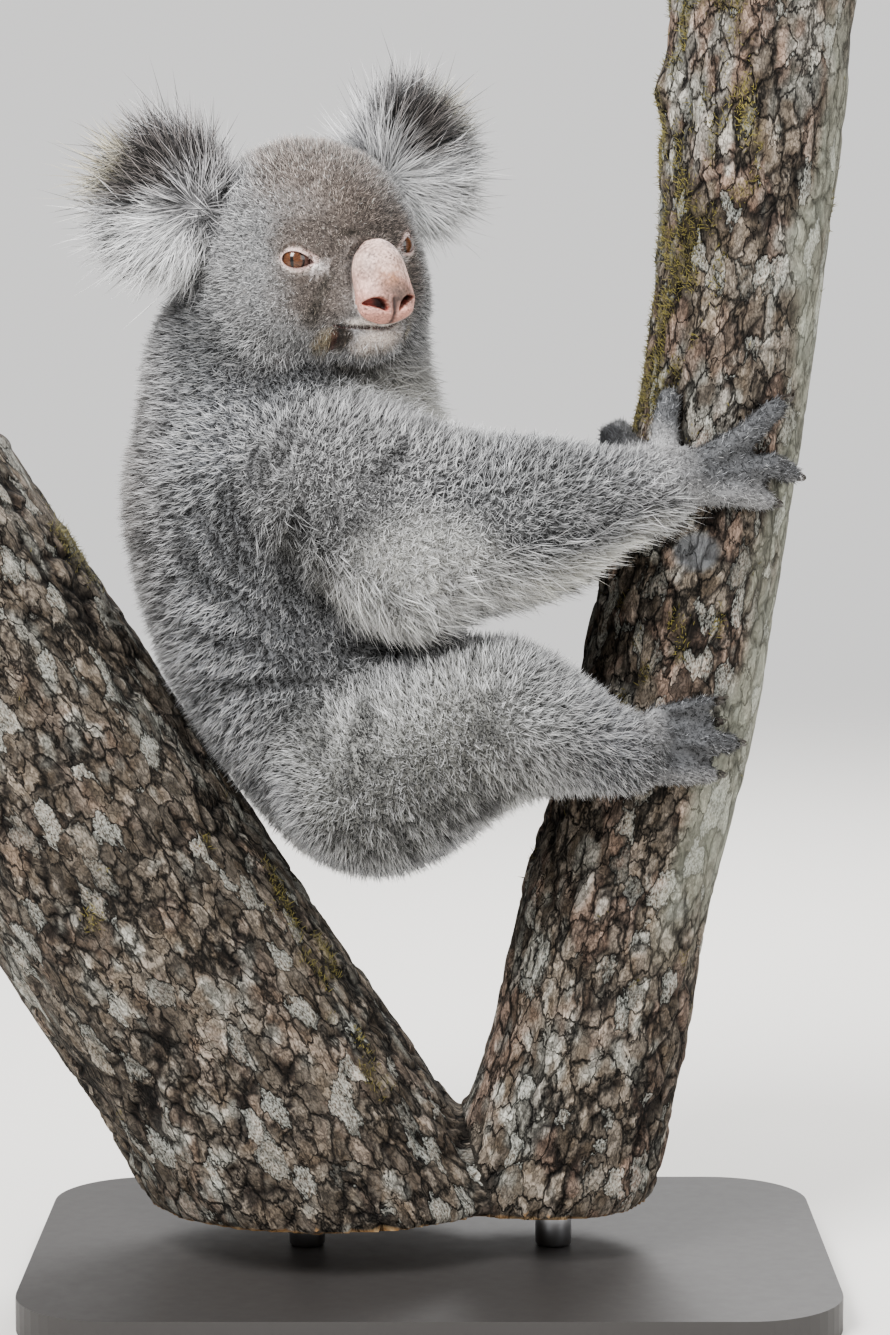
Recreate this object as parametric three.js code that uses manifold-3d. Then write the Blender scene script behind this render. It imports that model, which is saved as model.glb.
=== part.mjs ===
// A koala at life size, as a museum shows one: it sits braced in the fork of a tree, its rump and back on
// the leaning limb, both hands and both feet on the upright one, and its head turned to its right.
//
// Millimetres, +Z up. The fork lies in the XZ plane and the koala's chest faces +X, so its right side is
// at -Y. The origin is the middle of the display stand's foot, on the floor.
//
// The outline is that of the coat. Each part of the animal is one closed solid. Parts are made in an
// order, and each gives way to those before it, which leaves a thin cut between neighbours.

import * as THREE from "three";
import { edgeTable, triTable } from "three/addons/objects/MarchingCubes.js";
import { mergeVertices } from "three/addons/utils/BufferGeometryUtils.js";
import Module from "manifold-3d";

// ---- Driving dimensions -------------------------------------------------------------------------

const CUT = 0.4; // the gap between neighbouring parts
const FLOOR_TO_STUMP = 50; // height of the stump's sawn foot
const UPRIGHT_TOP = 790; // height of the upright limb's sawn end
const LEANING_END = -262; // x of the leaning limb's sawn end

const BASE = { width: 480, depth: 340, height: 20, corner: 60 };
const ROD = { radius: 11, spacing: 150, sides: 20 };

const HEAD_YAW = -59; // degrees from the chest's direction, to the koala's right
const HEAD_PITCH = 4; // degrees, nose down
const HEAD_ROLL = 7; // degrees, crown towards the koala's right
const EYE_RADIUS = 9.5;

const COLOURS = {
  coat: 0x77736f,
  pale_coat: 0xb9b5ad,
  ear_coat: 0x8d8a87,
  paw_coat: 0x6b6a6c,
  nose: 0xb98f86,
  eye: 0x4a2a18,
  claw: 0x2b2826,
  bark: 0x5d5349,
  stand: 0x2a2a2c,
  steel: 0x9a9a9c,
};

const at = (x, y, z) => new THREE.Vector3(x, y, z);
const across = (p) => at(p.x, -p.y, p.z); // the same place on the koala's other side
const radians = THREE.MathUtils.degToRad;

// ---- Shapes as distance fields ------------------------------------------------------------------
// A shape is { distance, box }: distance(p) is below 0 inside, and box holds all of it.

// An ellipsoid with the given half sizes along its own axes.
function egg(centre, radii, turn = new THREE.Quaternion()) {
  const back = turn.clone().invert();
  const q = new THREE.Vector3();
  const reach = Math.max(radii.x, radii.y, radii.z);
  return {
    distance(p) {
      q.copy(p).sub(centre).applyQuaternion(back).divide(radii);
      const k0 = q.length();
      const k1 = q.divide(radii).length();
      return k1 > 0 ? (k0 * (k0 - 1)) / k1 : -reach;
    },
    box: new THREE.Box3().setFromCenterAndSize(centre, at(reach, reach, reach).multiplyScalar(2)),
  };
}

// A straight limb with round ends, whose radius runs from one end's to the other's.
function bone(from, to, radiusFrom, radiusTo) {
  const line = new THREE.Line3(from, to);
  const near = new THREE.Vector3();
  const most = Math.max(radiusFrom, radiusTo);
  return {
    distance(p) {
      const share = line.closestPointToPointParameter(p, true);
      line.at(share, near);
      return near.distanceTo(p) - THREE.MathUtils.lerp(radiusFrom, radiusTo, share);
    },
    box: new THREE.Box3().setFromPoints([from, to]).expandByScalar(most),
  };
}

// Several shapes grown together, with fillets about as wide as softness.
function blend(softness, ...shapes) {
  const box = new THREE.Box3();
  for (const s of shapes) box.union(s.box);
  return {
    distance: (p) =>
      shapes
        .map((s) => s.distance(p))
        .reduce((a, b) => {
          const h = Math.max(softness - Math.abs(a - b), 0) / softness;
          return Math.min(a, b) - (h * h * softness) / 4;
        }),
    box: box.expandByScalar(softness / 4),
  };
}

// A shape less another, with the rim rounded by softness.
function carve(softness, shape, cutter) {
  return {
    distance(p) {
      const a = -shape.distance(p);
      const b = cutter.distance(p);
      const h = Math.max(softness - Math.abs(a - b), 0) / softness;
      return (h * h * softness) / 4 - Math.min(a, b);
    },
    box: shape.box,
  };
}

// ---- From shapes to solids ----------------------------------------------------------------------

const wasm = await Module();
wasm.setup();

const closed = (vertProperties, triVerts) =>
  new wasm.Manifold(new wasm.Mesh({ numProp: 3, vertProperties, triVerts }));

function solid(geometry) {
  const bare = new THREE.BufferGeometry();
  bare.setAttribute("position", geometry.getAttribute("position"));
  bare.setIndex(geometry.index);
  const merged = mergeVertices(bare, 1e-4);
  return closed(merged.getAttribute("position").array, new Uint32Array(merged.index.array));
}

// The twelve edges of a cell as pairs of its eight corners, in the order that the tables use.
const CORNERS = [
  [0, 0, 0], [1, 0, 0], [1, 1, 0], [0, 1, 0],
  [0, 0, 1], [1, 0, 1], [1, 1, 1], [0, 1, 1],
];
const EDGES = [
  [0, 1], [1, 2], [2, 3], [3, 0], [4, 5], [5, 6],
  [6, 7], [7, 4], [0, 4], [1, 5], [2, 6], [3, 7],
];
const SNAP = 0.3; // share of a cell's edge within which the surface's points join at the corner

// The point moved along the shape's gradient to its surface, and out of it by grow.
function settle(point, shape, grow) {
  const step = 0.5;
  const slope = ["x", "y", "z"].map((axis) => {
    const ahead = point.clone();
    ahead[axis] += step;
    return (shape.distance(ahead) - shape.distance(point)) / step;
  });
  const gradient = at(...slope);
  const steepness = gradient.length();
  return point.addScaledVector(gradient, (grow - shape.distance(point) / steepness) / steepness);
}

// A shape's surface by marching cubes of the given cell size, then grown.
function surface(shape, cell, grow) {
  const box = shape.box.clone().expandByScalar(cell);
  const low = box.min;
  const count = box.getSize(at(0, 0, 0)).divideScalar(cell).ceil().addScalar(1);
  const index = (i, j, k) => i + count.x * (j + count.y * k);
  const place = (i, j, k) => at(i, j, k).multiplyScalar(cell).add(low);
  const field = new Float32Array(count.x * count.y * count.z);
  for (let k = 0; k < count.z; k++)
    for (let j = 0; j < count.y; j++)
      for (let i = 0; i < count.x; i++)
        field[index(i, j, k)] = shape.distance(place(i, j, k));

  const vertices = [];
  const triangles = [];
  const made = new Map(); // lattice edge or corner to vertex
  const vertexOn = (p, q) => {
    const [a, b] = [index(...p), index(...q)];
    const share = field[a] / (field[a] - field[b]);
    const snapped = share < SNAP ? 0 : share > 1 - SNAP ? 1 : share;
    const key = [[a], [b]][snapped] ?? [Math.min(a, b), Math.max(a, b)];
    if (!made.has(key.join())) {
      made.set(key.join(), vertices.length / 3);
      const point = place(...p).lerp(place(...q), snapped);
      vertices.push(...settle(point, shape, grow).toArray());
    }
    return made.get(key.join());
  };
  for (let k = 0; k + 1 < count.z; k++)
    for (let j = 0; j + 1 < count.y; j++)
      for (let i = 0; i + 1 < count.x; i++) {
        const corners = CORNERS.map(([a, b, c]) => [i + a, j + b, k + c]);
        const code = corners.reduce((sum, c, n) => sum + (field[index(...c)] < 0 ? 1 << n : 0), 0);
        if (edgeTable[code] === 0) continue;
        for (let n = 16 * code; triTable[n] !== -1; n += 3) {
          const ends = [triTable[n], triTable[n + 2], triTable[n + 1]].map((e) => EDGES[e]);
          const three = ends.map(([a, b]) => vertexOn(corners[a], corners[b]));
          if (new Set(three).size === 3) triangles.push(...three);
        }
      }
  const geometry = new THREE.BufferGeometry();
  geometry.setAttribute("position", new THREE.Float32BufferAttribute(vertices, 3));
  geometry.setIndex(triangles);
  return solid(geometry);
}

// A round tube through stations { at, r }; its foot and its tip are each domed or flat.
function tube(stations, { sides, grow, foot = "domed", tip = "domed" }) {
  const centres = stations.map((s) => s.at);
  const last = centres.length - 1;
  const direction = (n) =>
    centres[Math.min(n + 1, last)].clone().sub(centres[Math.max(n - 1, 0)]).normalize();
  let side = Math.abs(direction(0).y) < 0.9 ? at(0, 1, 0) : at(1, 0, 0);
  const rings = [];
  const ring = (centre, along, radius) => {
    side = side.clone().addScaledVector(along, -side.dot(along)).normalize();
    rings.push({ centre, side, other: along.clone().cross(side), radius });
  };
  const dome = (n, sign) => {
    const along = direction(n);
    const radius = stations[n].r + grow;
    const out = centres[n].clone().addScaledVector(along, 0.7 * sign * radius);
    ring(out, along, 0.7 * radius);
  };
  if (foot === "domed") dome(0, -1);
  stations.forEach((s, n) => ring(s.at, direction(n), s.r + grow));
  if (tip === "domed") dome(last, 1);

  const vertices = [];
  for (const r of rings)
    for (let n = 0; n < sides; n++) {
      const angle = (2 * Math.PI * n) / sides;
      const point = r.centre.clone();
      point.addScaledVector(r.side, r.radius * Math.cos(angle));
      point.addScaledVector(r.other, r.radius * Math.sin(angle));
      vertices.push(...point.toArray());
    }
  const pole = (n, reach) => centres[n].clone().addScaledVector(direction(n), reach);
  const footReach = foot === "domed" ? -stations[0].r - grow : -grow;
  const tipReach = tip === "domed" ? stations[last].r + grow : grow;
  vertices.push(...pole(0, footReach).toArray(), ...pole(last, tipReach).toArray());
  const [footPole, tipPole] = [rings.length * sides, rings.length * sides + 1];
  const triangles = [];
  for (let n = 0; n < sides; n++) {
    const m = (n + 1) % sides;
    triangles.push(footPole, m, n);
    for (let k = 0; k + 1 < rings.length; k++) {
      const [a, b, c, d] = [n, m, sides + m, sides + n].map((v) => v + k * sides);
      triangles.push(a, b, c, a, c, d);
    }
    const top = (rings.length - 1) * sides;
    triangles.push(tipPole, top + n, top + m);
  }
  const geometry = new THREE.BufferGeometry();
  geometry.setAttribute("position", new THREE.Float32BufferAttribute(vertices, 3));
  geometry.setIndex(triangles);
  return solid(geometry);
}

// ---- The fork -----------------------------------------------------------------------------------

const stations = (rows) => rows.map(([x, z, r]) => ({ at: at(x, 0, z), r }));

// x, z and radius of the upright limb, from the stump to above its sawn end.
const UPRIGHT = stations([
  [62, 20, 68],
  [96, 144, 60],
  [112, 234, 58],
  [136, 322, 56],
  [157, 433, 55],
  [174, 524, 51],
  [184, 600, 51],
  [190, 680, 54],
  [196, 762, 56],
  [203, 850, 56],
]);

// The leaning limb, from the stump to past its sawn end.
const LEANING = stations([
  [-40, 10, 100],
  [-84, 86, 95],
  [-120, 143, 92],
  [-190, 250, 91],
  [-256, 356, 89],
  [-350, 499, 88],
]);

const BARK_SIDES = 14;

const block = (low, high, grow) => {
  const size = high.clone().sub(low).addScalar(2 * grow);
  const centre = low.clone().add(high).multiplyScalar(0.5);
  const box = new THREE.BoxGeometry(size.x, size.y, size.z).translate(centre.x, centre.y, centre.z);
  return solid(box);
};

function fork(grow) {
  const limb = (rows) => tube(rows, { sides: BARK_SIDES, grow, foot: "flat", tip: "flat" });
  const far = 1200;
  const kept = block(at(LEANING_END, -far, FLOOR_TO_STUMP), at(far, far, UPRIGHT_TOP), grow);
  return limb(UPRIGHT).add(limb(LEANING)).intersect(kept);
}

// The upright limb's centre and radius at a height.
function uprightAt(z) {
  const n = UPRIGHT.findIndex((s) => s.at.z > z);
  const [below, above] = [UPRIGHT[n - 1], UPRIGHT[n]];
  const share = (z - below.at.z) / (above.at.z - below.at.z);
  return {
    x: THREE.MathUtils.lerp(below.at.x, above.at.x, share),
    r: THREE.MathUtils.lerp(below.r, above.r, share),
  };
}

// A point round the upright limb: angle 0 is its -Y side and 90 its +X side, lift is above the bark.
function onUpright(z, angle, lift) {
  const { x, r } = uprightAt(z);
  const a = radians(angle);
  return at(x + (r + lift) * Math.sin(a), -(r + lift) * Math.cos(a), z);
}

// ---- Trunk and neck -----------------------------------------------------------------------------

const torso = blend(
  40,
  egg(at(-38, 0, 318), at(74, 82, 70)), // rump
  egg(at(-74, 0, 392), at(92, 92, 86)), // belly
  egg(at(-86, 0, 468), at(101, 92, 90)), // ribs
  egg(at(-90, 0, 506), at(79, 74, 56)), // withers
  egg(at(-74, -44, 496), at(64, 50, 54)), // shoulders
  egg(at(-74, 44, 496), at(64, 50, 54)),
);
const neck = blend(
  30,
  egg(at(-90, 0, 530), at(88, 72, 60)), // nape and throat
  egg(at(-84, -6, 572), at(82, 66, 56)),
);

// ---- Head ---------------------------------------------------------------------------------------
// Head places are given as forward, left, up from the middle of the skull.

const HEAD = at(-70, -22, 617);
const headTurn = new THREE.Quaternion().setFromEuler(
  new THREE.Euler(radians(HEAD_ROLL), radians(HEAD_PITCH), radians(HEAD_YAW), "ZYX"),
);
const inHead = (forward, left, up) => at(forward, left, up).applyQuaternion(headTurn).add(HEAD);
const headEgg = (centre, radii, pitch = 0) => {
  const tilt = new THREE.Quaternion().setFromAxisAngle(at(0, 1, 0), radians(pitch));
  return egg(inHead(...centre), at(...radii), headTurn.clone().multiply(tilt));
};

const nose = blend(
  10,
  headEgg([80, 0.5, -4], [14, 16.5, 22], -15), // the long pad
  headEgg([85.5, 0.5, -20], [12, 18, 11.5]), // the bulb round the nostrils
);
const head = blend(
  18,
  headEgg([-6, 0, 6], [66, 66, 66]), // braincase
  headEgg([24, 0, 16], [42, 38, 40]), // forehead
  headEgg([10, -30, -24], [46, 36, 42]), // cheeks
  headEgg([10, 30, -24], [46, 36, 42]),
  headEgg([56, 0, -22], [30, 28, 27]), // muzzle
  headEgg([52, 0, -44], [25, 21, 15]), // chin
);
const EYES = { forward: 46, left: 34.5, up: 7 };

// An ear is a thick round leaf, dished on its front, that stands out from the side of the head.
// The left one is pricked a little higher than the right one, and turned more to the front.
const EARS = {
  right: { outward: 0.5, width: 86, height: 45 },
  left: { outward: 0.15, width: 89, height: 50 },
};
function ear(name, side) {
  const { outward, width, height } = EARS[name];
  const front = at(0.86, side * outward, 0.1).normalize(); // the way the dish faces
  const out = at(-0.3, side * 0.84, 0.46);
  out.addScaledVector(front, -out.dot(front)).normalize();
  const axes = new THREE.Matrix4().makeBasis(front, out, front.clone().cross(out));
  const turn = headTurn.clone().multiply(new THREE.Quaternion().setFromRotationMatrix(axes));
  const centre = at(-22, side * width, height);
  const dish = centre.clone().addScaledVector(front, 26);
  const inside = egg(inHead(...dish.toArray()), at(20, 36, 40), turn);
  return carve(12, egg(inHead(...centre.toArray()), at(24, 51, 57), turn), inside);
}

// ---- Limbs --------------------------------------------------------------------------------------

// The right side's joints, and how much of its paw's drop each one shares on the left side.
const JOINTS = {
  shoulder: { at: at(-62, -66, 488), hangs: 0 },
  elbow: { at: at(-8, -94, 440), hangs: 0.5 },
  crook: { at: at(22, -80, 480), hangs: 0.5 }, // where the upper arm's muscle meets the forearm's
  forearm: { at: at(56, -84, 470), hangs: 0.6 }, // its thickest place
  wrist: { at: at(124, -68, 483), hangs: 1 },
  hip: { at: at(-30, -62, 318), hangs: 0 },
  lap: { at: at(36, -93, 354), hangs: 0.8 }, // where the thigh's muscle ends above the knee
  knee: { at: at(48, -96, 355), hangs: 0.8 },
  ankle: { at: at(112, -78, 330), hangs: 1 },
};

const upperArm = (j) =>
  blend(16, bone(j.shoulder, j.elbow, 54, 45), bone(j.shoulder, j.crook, 54, 43));
const forearm = (j) =>
  blend(16, bone(j.elbow, j.forearm, 40, 48), bone(j.forearm, j.wrist, 48, 27));
const thigh = (j) => bone(j.hip, j.lap, 66, 52);
const shank = (j) => bone(j.knee, j.ankle, 50, 27);

// Each digit lies on the bark: [height, angle, lift, radius] from its root over knuckles to its tip.
// The koala's first two fingers face the other three; its great toe has no claw, and its second and
// third toes are joined.
const FINGERS = [
  [[490, -20, 16, 13], [500, -46, 16, 13], [511, -74, 13, 12.5], [513, -98, 6, 10]],
  [[498, -30, 12, 11], [520, -35, 12, 10], [536, -39, 6, 8.5]],
  [[500, -10, 10, 11], [516, 11, 11, 9.5], [531, 29, 5, 8]],
  [[491, -4, 10, 11], [498, 28, 11, 9.5], [492, 49, 5, 8]],
  [[483, -8, 10, 11.5], [482, 12, 11, 10.5], [477, 31, 5, 8.5]],
];
const TOES = [
  [[336, -14, 14, 12], [342, -40, 15, 12], [348, -64, 13, 12], [350, -86, 6, 10]],
  [[350, -10, 10, 8.5], [357, 6, 11, 7], [359, 19, 5, 6]],
  [[342, -8, 10, 8.5], [347, 8, 11, 7], [347, 21, 5, 6]],
  [[334, -6, 10, 11], [336, 18, 12, 10], [334, 38, 5, 8]],
  [[322, -10, 10, 11.5], [320, 10, 12, 10.5], [317, 27, 5, 8.5]],
];
const CLAW = { length: 11, root: 3.2, tip: 0.7, arch: 3 };
const CLAWED_FINGERS = [0, 1, 2, 3, 4];
const CLAWED_TOES = [1, 2, 3, 4];

// A paw is a palm or sole from the wrist or ankle to the digits' roots, and its digits.
function paw(joint, jointRadius, digits, place, drop, grow) {
  const gripped = ([z, angle, lift, r]) => ({ at: place(onUpright(z - drop, angle, lift)), r });
  const middle = digits.slice(1).map((d) => gripped(d[0]).at);
  const pad = middle.reduce((a, b) => a.add(b), at(0, 0, 0)).divideScalar(middle.length);
  const palm = [
    { at: joint, r: jointRadius },
    { at: joint.clone().lerp(pad, 0.5), r: 0.95 * jointRadius },
    { at: pad, r: 0.72 * jointRadius },
  ];
  return digits.reduce(
    (sum, d) => sum.add(tube(d.map(gripped), { sides: 6, grow, foot: "flat" })),
    tube(palm, { sides: 8, grow }),
  );
}

// A claw runs on from its digit's tip and bends in to the bark.
function claw(digit, place, drop, grow) {
  const [knuckle, tip] = digit.slice(-2);
  const on = ([z, angle], lift) => onUpright(z - drop, angle, lift);
  const start = on(tip, tip[2]);
  const along = start.clone().sub(on(knuckle, knuckle[2])).normalize();
  const [z, angle, , r] = tip;
  const reach = start.clone().addScaledVector(along, r + CLAW.length);
  const middle = start.clone().addScaledVector(along, r + CLAW.length / 3);
  const inward = on([z, angle], 0).sub(on([z, angle], 1)); // one millimetre towards the limb's axis
  middle.addScaledVector(inward, -CLAW.arch);
  reach.addScaledVector(inward, CLAW.arch);
  return tube(
    [
      { at: place(start.addScaledVector(along, r / 2)), r: CLAW.root },
      { at: place(middle), r: 0.8 * CLAW.root },
      { at: place(reach), r: CLAW.tip },
    ],
    { sides: 4, grow, foot: "flat", tip: "flat" },
  );
}

// ---- Stand --------------------------------------------------------------------------------------

function standBase() {
  const [x, y, c] = [BASE.width / 2, BASE.depth / 2, BASE.corner];
  const outline = new THREE.Shape();
  outline.absarc(x - c, y - c, c, 0, Math.PI / 2);
  outline.absarc(c - x, y - c, c, Math.PI / 2, Math.PI);
  outline.absarc(c - x, c - y, c, Math.PI, 1.5 * Math.PI);
  outline.absarc(x - c, c - y, c, 1.5 * Math.PI, 2 * Math.PI);
  return solid(
    new THREE.ExtrudeGeometry(outline, { depth: BASE.height, bevelEnabled: false, curveSegments: 6 }),
  );
}

function standRod(x) {
  const height = FLOOR_TO_STUMP - BASE.height - 2 * CUT;
  const rod = new THREE.CylinderGeometry(ROD.radius, ROD.radius, height, ROD.sides);
  return solid(rod.rotateX(Math.PI / 2).translate(x, 0, BASE.height + CUT + height / 2));
}

// ---- The parts in order -------------------------------------------------------------------------
// make(grow) gives a part's whole shape, grown by grow. It keeps what the parts before it leave.

const CELL = { torso: 30, neck: 27, head: 17, ear: 16, arm: 22, leg: 25, nose: 8 };
const parts = [];
const part = (name, colour, make) => parts.push({ name, colour, make });
const grown = (shape, cell) => (grow) => surface(shape, cell, grow);

part("stand_base", COLOURS.stand, standBase);
part("stand_rod_front", COLOURS.steel, () => standRod(ROD.spacing / 2));
part("stand_rod_back", COLOURS.steel, () => standRod(-ROD.spacing / 2));
part("perch", COLOURS.bark, fork);

const SIDES = [
  { name: "right", sign: -1, place: (p) => p.clone(), drop: 0 },
  { name: "left", sign: 1, place: across, drop: 28 },
];

for (const { name, sign } of SIDES) {
  const centre = inHead(EYES.forward, sign * EYES.left, EYES.up);
  part("eye_" + name, COLOURS.eye, (grow) =>
    solid(new THREE.SphereGeometry(EYE_RADIUS + grow, 10, 8).translate(...centre.toArray())),
  );
}
part("nose", COLOURS.nose, grown(nose, CELL.nose));
part("head", COLOURS.coat, grown(head, CELL.head));
for (const { name, sign } of SIDES)
  part("ear_" + name, COLOURS.ear_coat, grown(ear(name, sign), CELL.ear));
part("neck", COLOURS.coat, grown(neck, CELL.neck));
part("torso", COLOURS.coat, grown(torso, CELL.torso));
for (const { name, place, drop } of SIDES) {
  const lowered = ({ at: p, hangs }) => place(at(p.x, p.y, p.z - hangs * drop));
  const joints = {};
  for (const [joint, given] of Object.entries(JOINTS)) joints[joint] = lowered(given);
  part("hand_" + name, COLOURS.paw_coat, (grow) => paw(joints.wrist, 25, FINGERS, place, drop, grow));
  part("foot_" + name, COLOURS.paw_coat, (grow) => paw(joints.ankle, 25, TOES, place, drop, grow));
  for (const n of CLAWED_FINGERS)
    part(`claw_hand_${name}_${n + 1}`, COLOURS.claw, (grow) => claw(FINGERS[n], place, drop, grow));
  for (const n of CLAWED_TOES)
    part(`claw_foot_${name}_${n + 1}`, COLOURS.claw, (grow) => claw(TOES[n], place, drop, grow));
  part("upper_arm_" + name, COLOURS.coat, grown(upperArm(joints), CELL.arm));
  part("forearm_" + name, COLOURS.coat, grown(forearm(joints), CELL.arm));
  part("shank_" + name, COLOURS.coat, grown(shank(joints), CELL.leg));
  part("thigh_" + name, COLOURS.coat, grown(thigh(joints), CELL.leg));
}

// ---- Cutting and assembly -----------------------------------------------------------------------

// A solid's largest body, made afresh: one that kept its history would slow every later cut.
function largest(s) {
  const body = s.decompose().reduce((a, b) => (b.volume() > a.volume() ? b : a));
  const { vertProperties, triVerts } = body.getMesh();
  return closed(vertProperties, triVerts);
}

function meshOf(s, { name, colour }) {
  const made = s.getMesh();
  const geometry = new THREE.BufferGeometry();
  geometry.setAttribute("position", new THREE.BufferAttribute(made.vertProperties, 3));
  geometry.setIndex(new THREE.BufferAttribute(made.triVerts, 1));
  geometry.computeVertexNormals();
  const material = new THREE.MeshStandardMaterial({ color: colour, roughness: 0.8, metalness: 0 });
  const mesh = new THREE.Mesh(geometry, material);
  mesh.name = name;
  return mesh;
}

const koala = new THREE.Group();
const before = []; // what later parts give way to
for (const p of parts) {
  const made = largest(before.reduce((s, other) => s.subtract(other), p.make(0)));
  koala.add(meshOf(made, p));
  before.push(largest(made.add(p.make(CUT))));
}

export default koala;
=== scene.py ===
"""A still, life-size koala in the fork of a tree: skin, coat, eyes, nose, bark, stand and light."""

import itertools
import math

import bmesh
import bpy
import numpy as np
from mathutils import Matrix, Vector
from mathutils.bvhtree import BVHTree


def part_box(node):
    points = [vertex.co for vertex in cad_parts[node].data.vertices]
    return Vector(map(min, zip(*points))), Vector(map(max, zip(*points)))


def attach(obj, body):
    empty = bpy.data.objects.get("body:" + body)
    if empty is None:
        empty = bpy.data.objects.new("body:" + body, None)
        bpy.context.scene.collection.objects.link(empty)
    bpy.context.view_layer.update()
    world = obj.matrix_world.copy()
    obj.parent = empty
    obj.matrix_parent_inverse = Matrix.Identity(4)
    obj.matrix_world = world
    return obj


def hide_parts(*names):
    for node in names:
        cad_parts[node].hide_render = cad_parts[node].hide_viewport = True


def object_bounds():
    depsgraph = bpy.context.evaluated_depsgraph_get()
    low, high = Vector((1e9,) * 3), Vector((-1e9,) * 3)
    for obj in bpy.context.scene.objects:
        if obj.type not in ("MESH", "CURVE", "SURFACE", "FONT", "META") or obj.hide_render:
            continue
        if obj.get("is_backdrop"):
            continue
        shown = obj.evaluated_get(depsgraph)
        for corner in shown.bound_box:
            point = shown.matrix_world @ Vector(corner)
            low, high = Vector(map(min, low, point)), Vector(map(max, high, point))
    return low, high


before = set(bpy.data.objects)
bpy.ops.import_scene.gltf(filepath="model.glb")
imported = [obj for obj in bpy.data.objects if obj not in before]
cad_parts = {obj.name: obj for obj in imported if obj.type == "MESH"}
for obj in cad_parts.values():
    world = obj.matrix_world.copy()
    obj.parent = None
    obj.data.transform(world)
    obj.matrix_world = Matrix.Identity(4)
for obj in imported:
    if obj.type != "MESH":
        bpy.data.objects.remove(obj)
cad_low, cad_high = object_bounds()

MM = 0.001
rng = np.random.default_rng(11)


# ---------------------------------------------------------------- numbers

def unit(v):
    return v / np.maximum(np.linalg.norm(v, axis=-1, keepdims=True), 1e-12)


def ramp(low, high, x):
    """0 below low, 1 above high, smooth between; high may be the smaller."""
    t = np.clip((x - low) / (high - low), 0.0, 1.0)
    return t * t * (3 - 2 * t)


def mixed(a, b, t):
    return a + (b - a) * t


def hill(x, centre, width):
    return np.exp(-(((x - centre) / width) ** 2))


def gap_to(points, place, size=1.0):
    """How far each point is from a place, with each axis measured in sizes."""
    return np.linalg.norm((points - np.asarray(place)) / np.asarray(size), axis=-1)


def linear(*srgb):
    """A colour given as 0 to 255 sRGB, as linear light."""
    c = np.array(srgb, float) / 255
    return np.where(c <= 0.04045, c / 12.92, ((c + 0.055) / 1.055) ** 2.4)


def hashed(spots, salt):
    """A steady random number from 0 to 1 for each whole-numbered spot."""
    c = spots.astype(np.int64).astype(np.uint64)
    mask = np.uint64(0xFFFFFFFF)
    h = (c[..., 0] * np.uint64(73856093)) ^ (c[..., 1] * np.uint64(19349663))
    h = (h ^ (c[..., 2] * np.uint64(83492791)) ^ np.uint64(salt * 7919 + 13)) & mask
    for factor in (2246822519, 3266489917):
        h = ((h ^ (h >> np.uint64(15))) * np.uint64(factor)) & mask
    return (h ^ (h >> np.uint64(16))).astype(float) / 2**32


def noise(points, size, salt=0):
    """Smooth noise from -1 to 1 with features of that size."""
    q = points / size
    low = np.floor(q)
    f = q - low
    f = f * f * (3 - 2 * f)
    total = 0
    for corner in itertools.product((0, 1), repeat=3):
        w = np.prod(np.where(np.array(corner) == 1, f, 1 - f), axis=-1)
        total = total + w * hashed(low + np.array(corner), salt)
    return total * 2 - 1


def cells(points, size, salt=0):
    """Each point's way to its nearest cell centre, its distance from the border, and its cell's number."""
    q = points / size
    low = np.floor(q)
    first = np.full(len(q), 9.0)
    second = np.full(len(q), 9.0)
    way = np.zeros_like(q)
    mark = np.zeros(len(q))
    for corner in itertools.product((-1, 0, 1), repeat=3):
        cell = low + np.array(corner)
        seed = cell + np.stack([hashed(cell, salt + k) for k in (1, 2, 3)], -1)
        gap = seed - q
        far = np.linalg.norm(gap, axis=-1)
        nearer = far < first
        second = np.where(nearer, first, np.minimum(second, far))
        first = np.where(nearer, far, first)
        way[nearer] = gap[nearer]
        mark = np.where(nearer, hashed(cell, salt + 4), mark)
    return way * size, second - first, mark


# ---------------------------------------------------------------- meshes as arrays

WELD = 1e-6  # metres within which two points are one
STEP = 0.7  # how far a point goes towards the mean of its neighbours in one round
IN_AND_OUT = (0.62, -0.645)  # the same for smoothing that doesn't shrink: a step in, and a longer one out


def corners_of(mesh):
    """A mesh's vertices, and its faces cut into triangles."""
    co = np.empty(len(mesh.vertices) * 3, np.float32)
    mesh.vertices.foreach_get("co", co)
    mesh.calc_loop_triangles()
    tris = np.empty(len(mesh.loop_triangles) * 3, np.int32)
    mesh.loop_triangles.foreach_get("vertices", tris)
    return co.reshape(-1, 3).astype(float), tris.reshape(-1, 3)


def welded(points, tris):
    """The same surface with each point kept once."""
    rounded = np.round(points / WELD).astype(np.int64)
    _, first, again = np.unique(rounded, axis=0, return_index=True, return_inverse=True)
    tris = again.reshape(-1)[tris]
    keep = (tris[:, 0] != tris[:, 1]) & (tris[:, 1] != tris[:, 2]) & (tris[:, 0] != tris[:, 2])
    return points[first], tris[keep]


def normals_of(points, tris):
    a, b, c = (points[tris[:, k]] for k in range(3))
    face = np.cross(b - a, c - a)
    out = np.zeros_like(points)
    for k in range(3):
        for axis in range(3):
            out[:, axis] += np.bincount(tris[:, k], face[:, axis], len(points))
    return unit(out)


def links_of(tris, count):
    """Which vertices touch, each pair both ways, and how many touch each one."""
    pairs = np.concatenate([tris[:, [0, 1]], tris[:, [1, 2]], tris[:, [2, 0]]])
    pairs = np.unique(np.sort(pairs, axis=1), axis=0)
    pairs = np.concatenate([pairs, pairs[:, ::-1]])
    return pairs[:, 0], pairs[:, 1], np.maximum(np.bincount(pairs[:, 0], minlength=count), 1)


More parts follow.
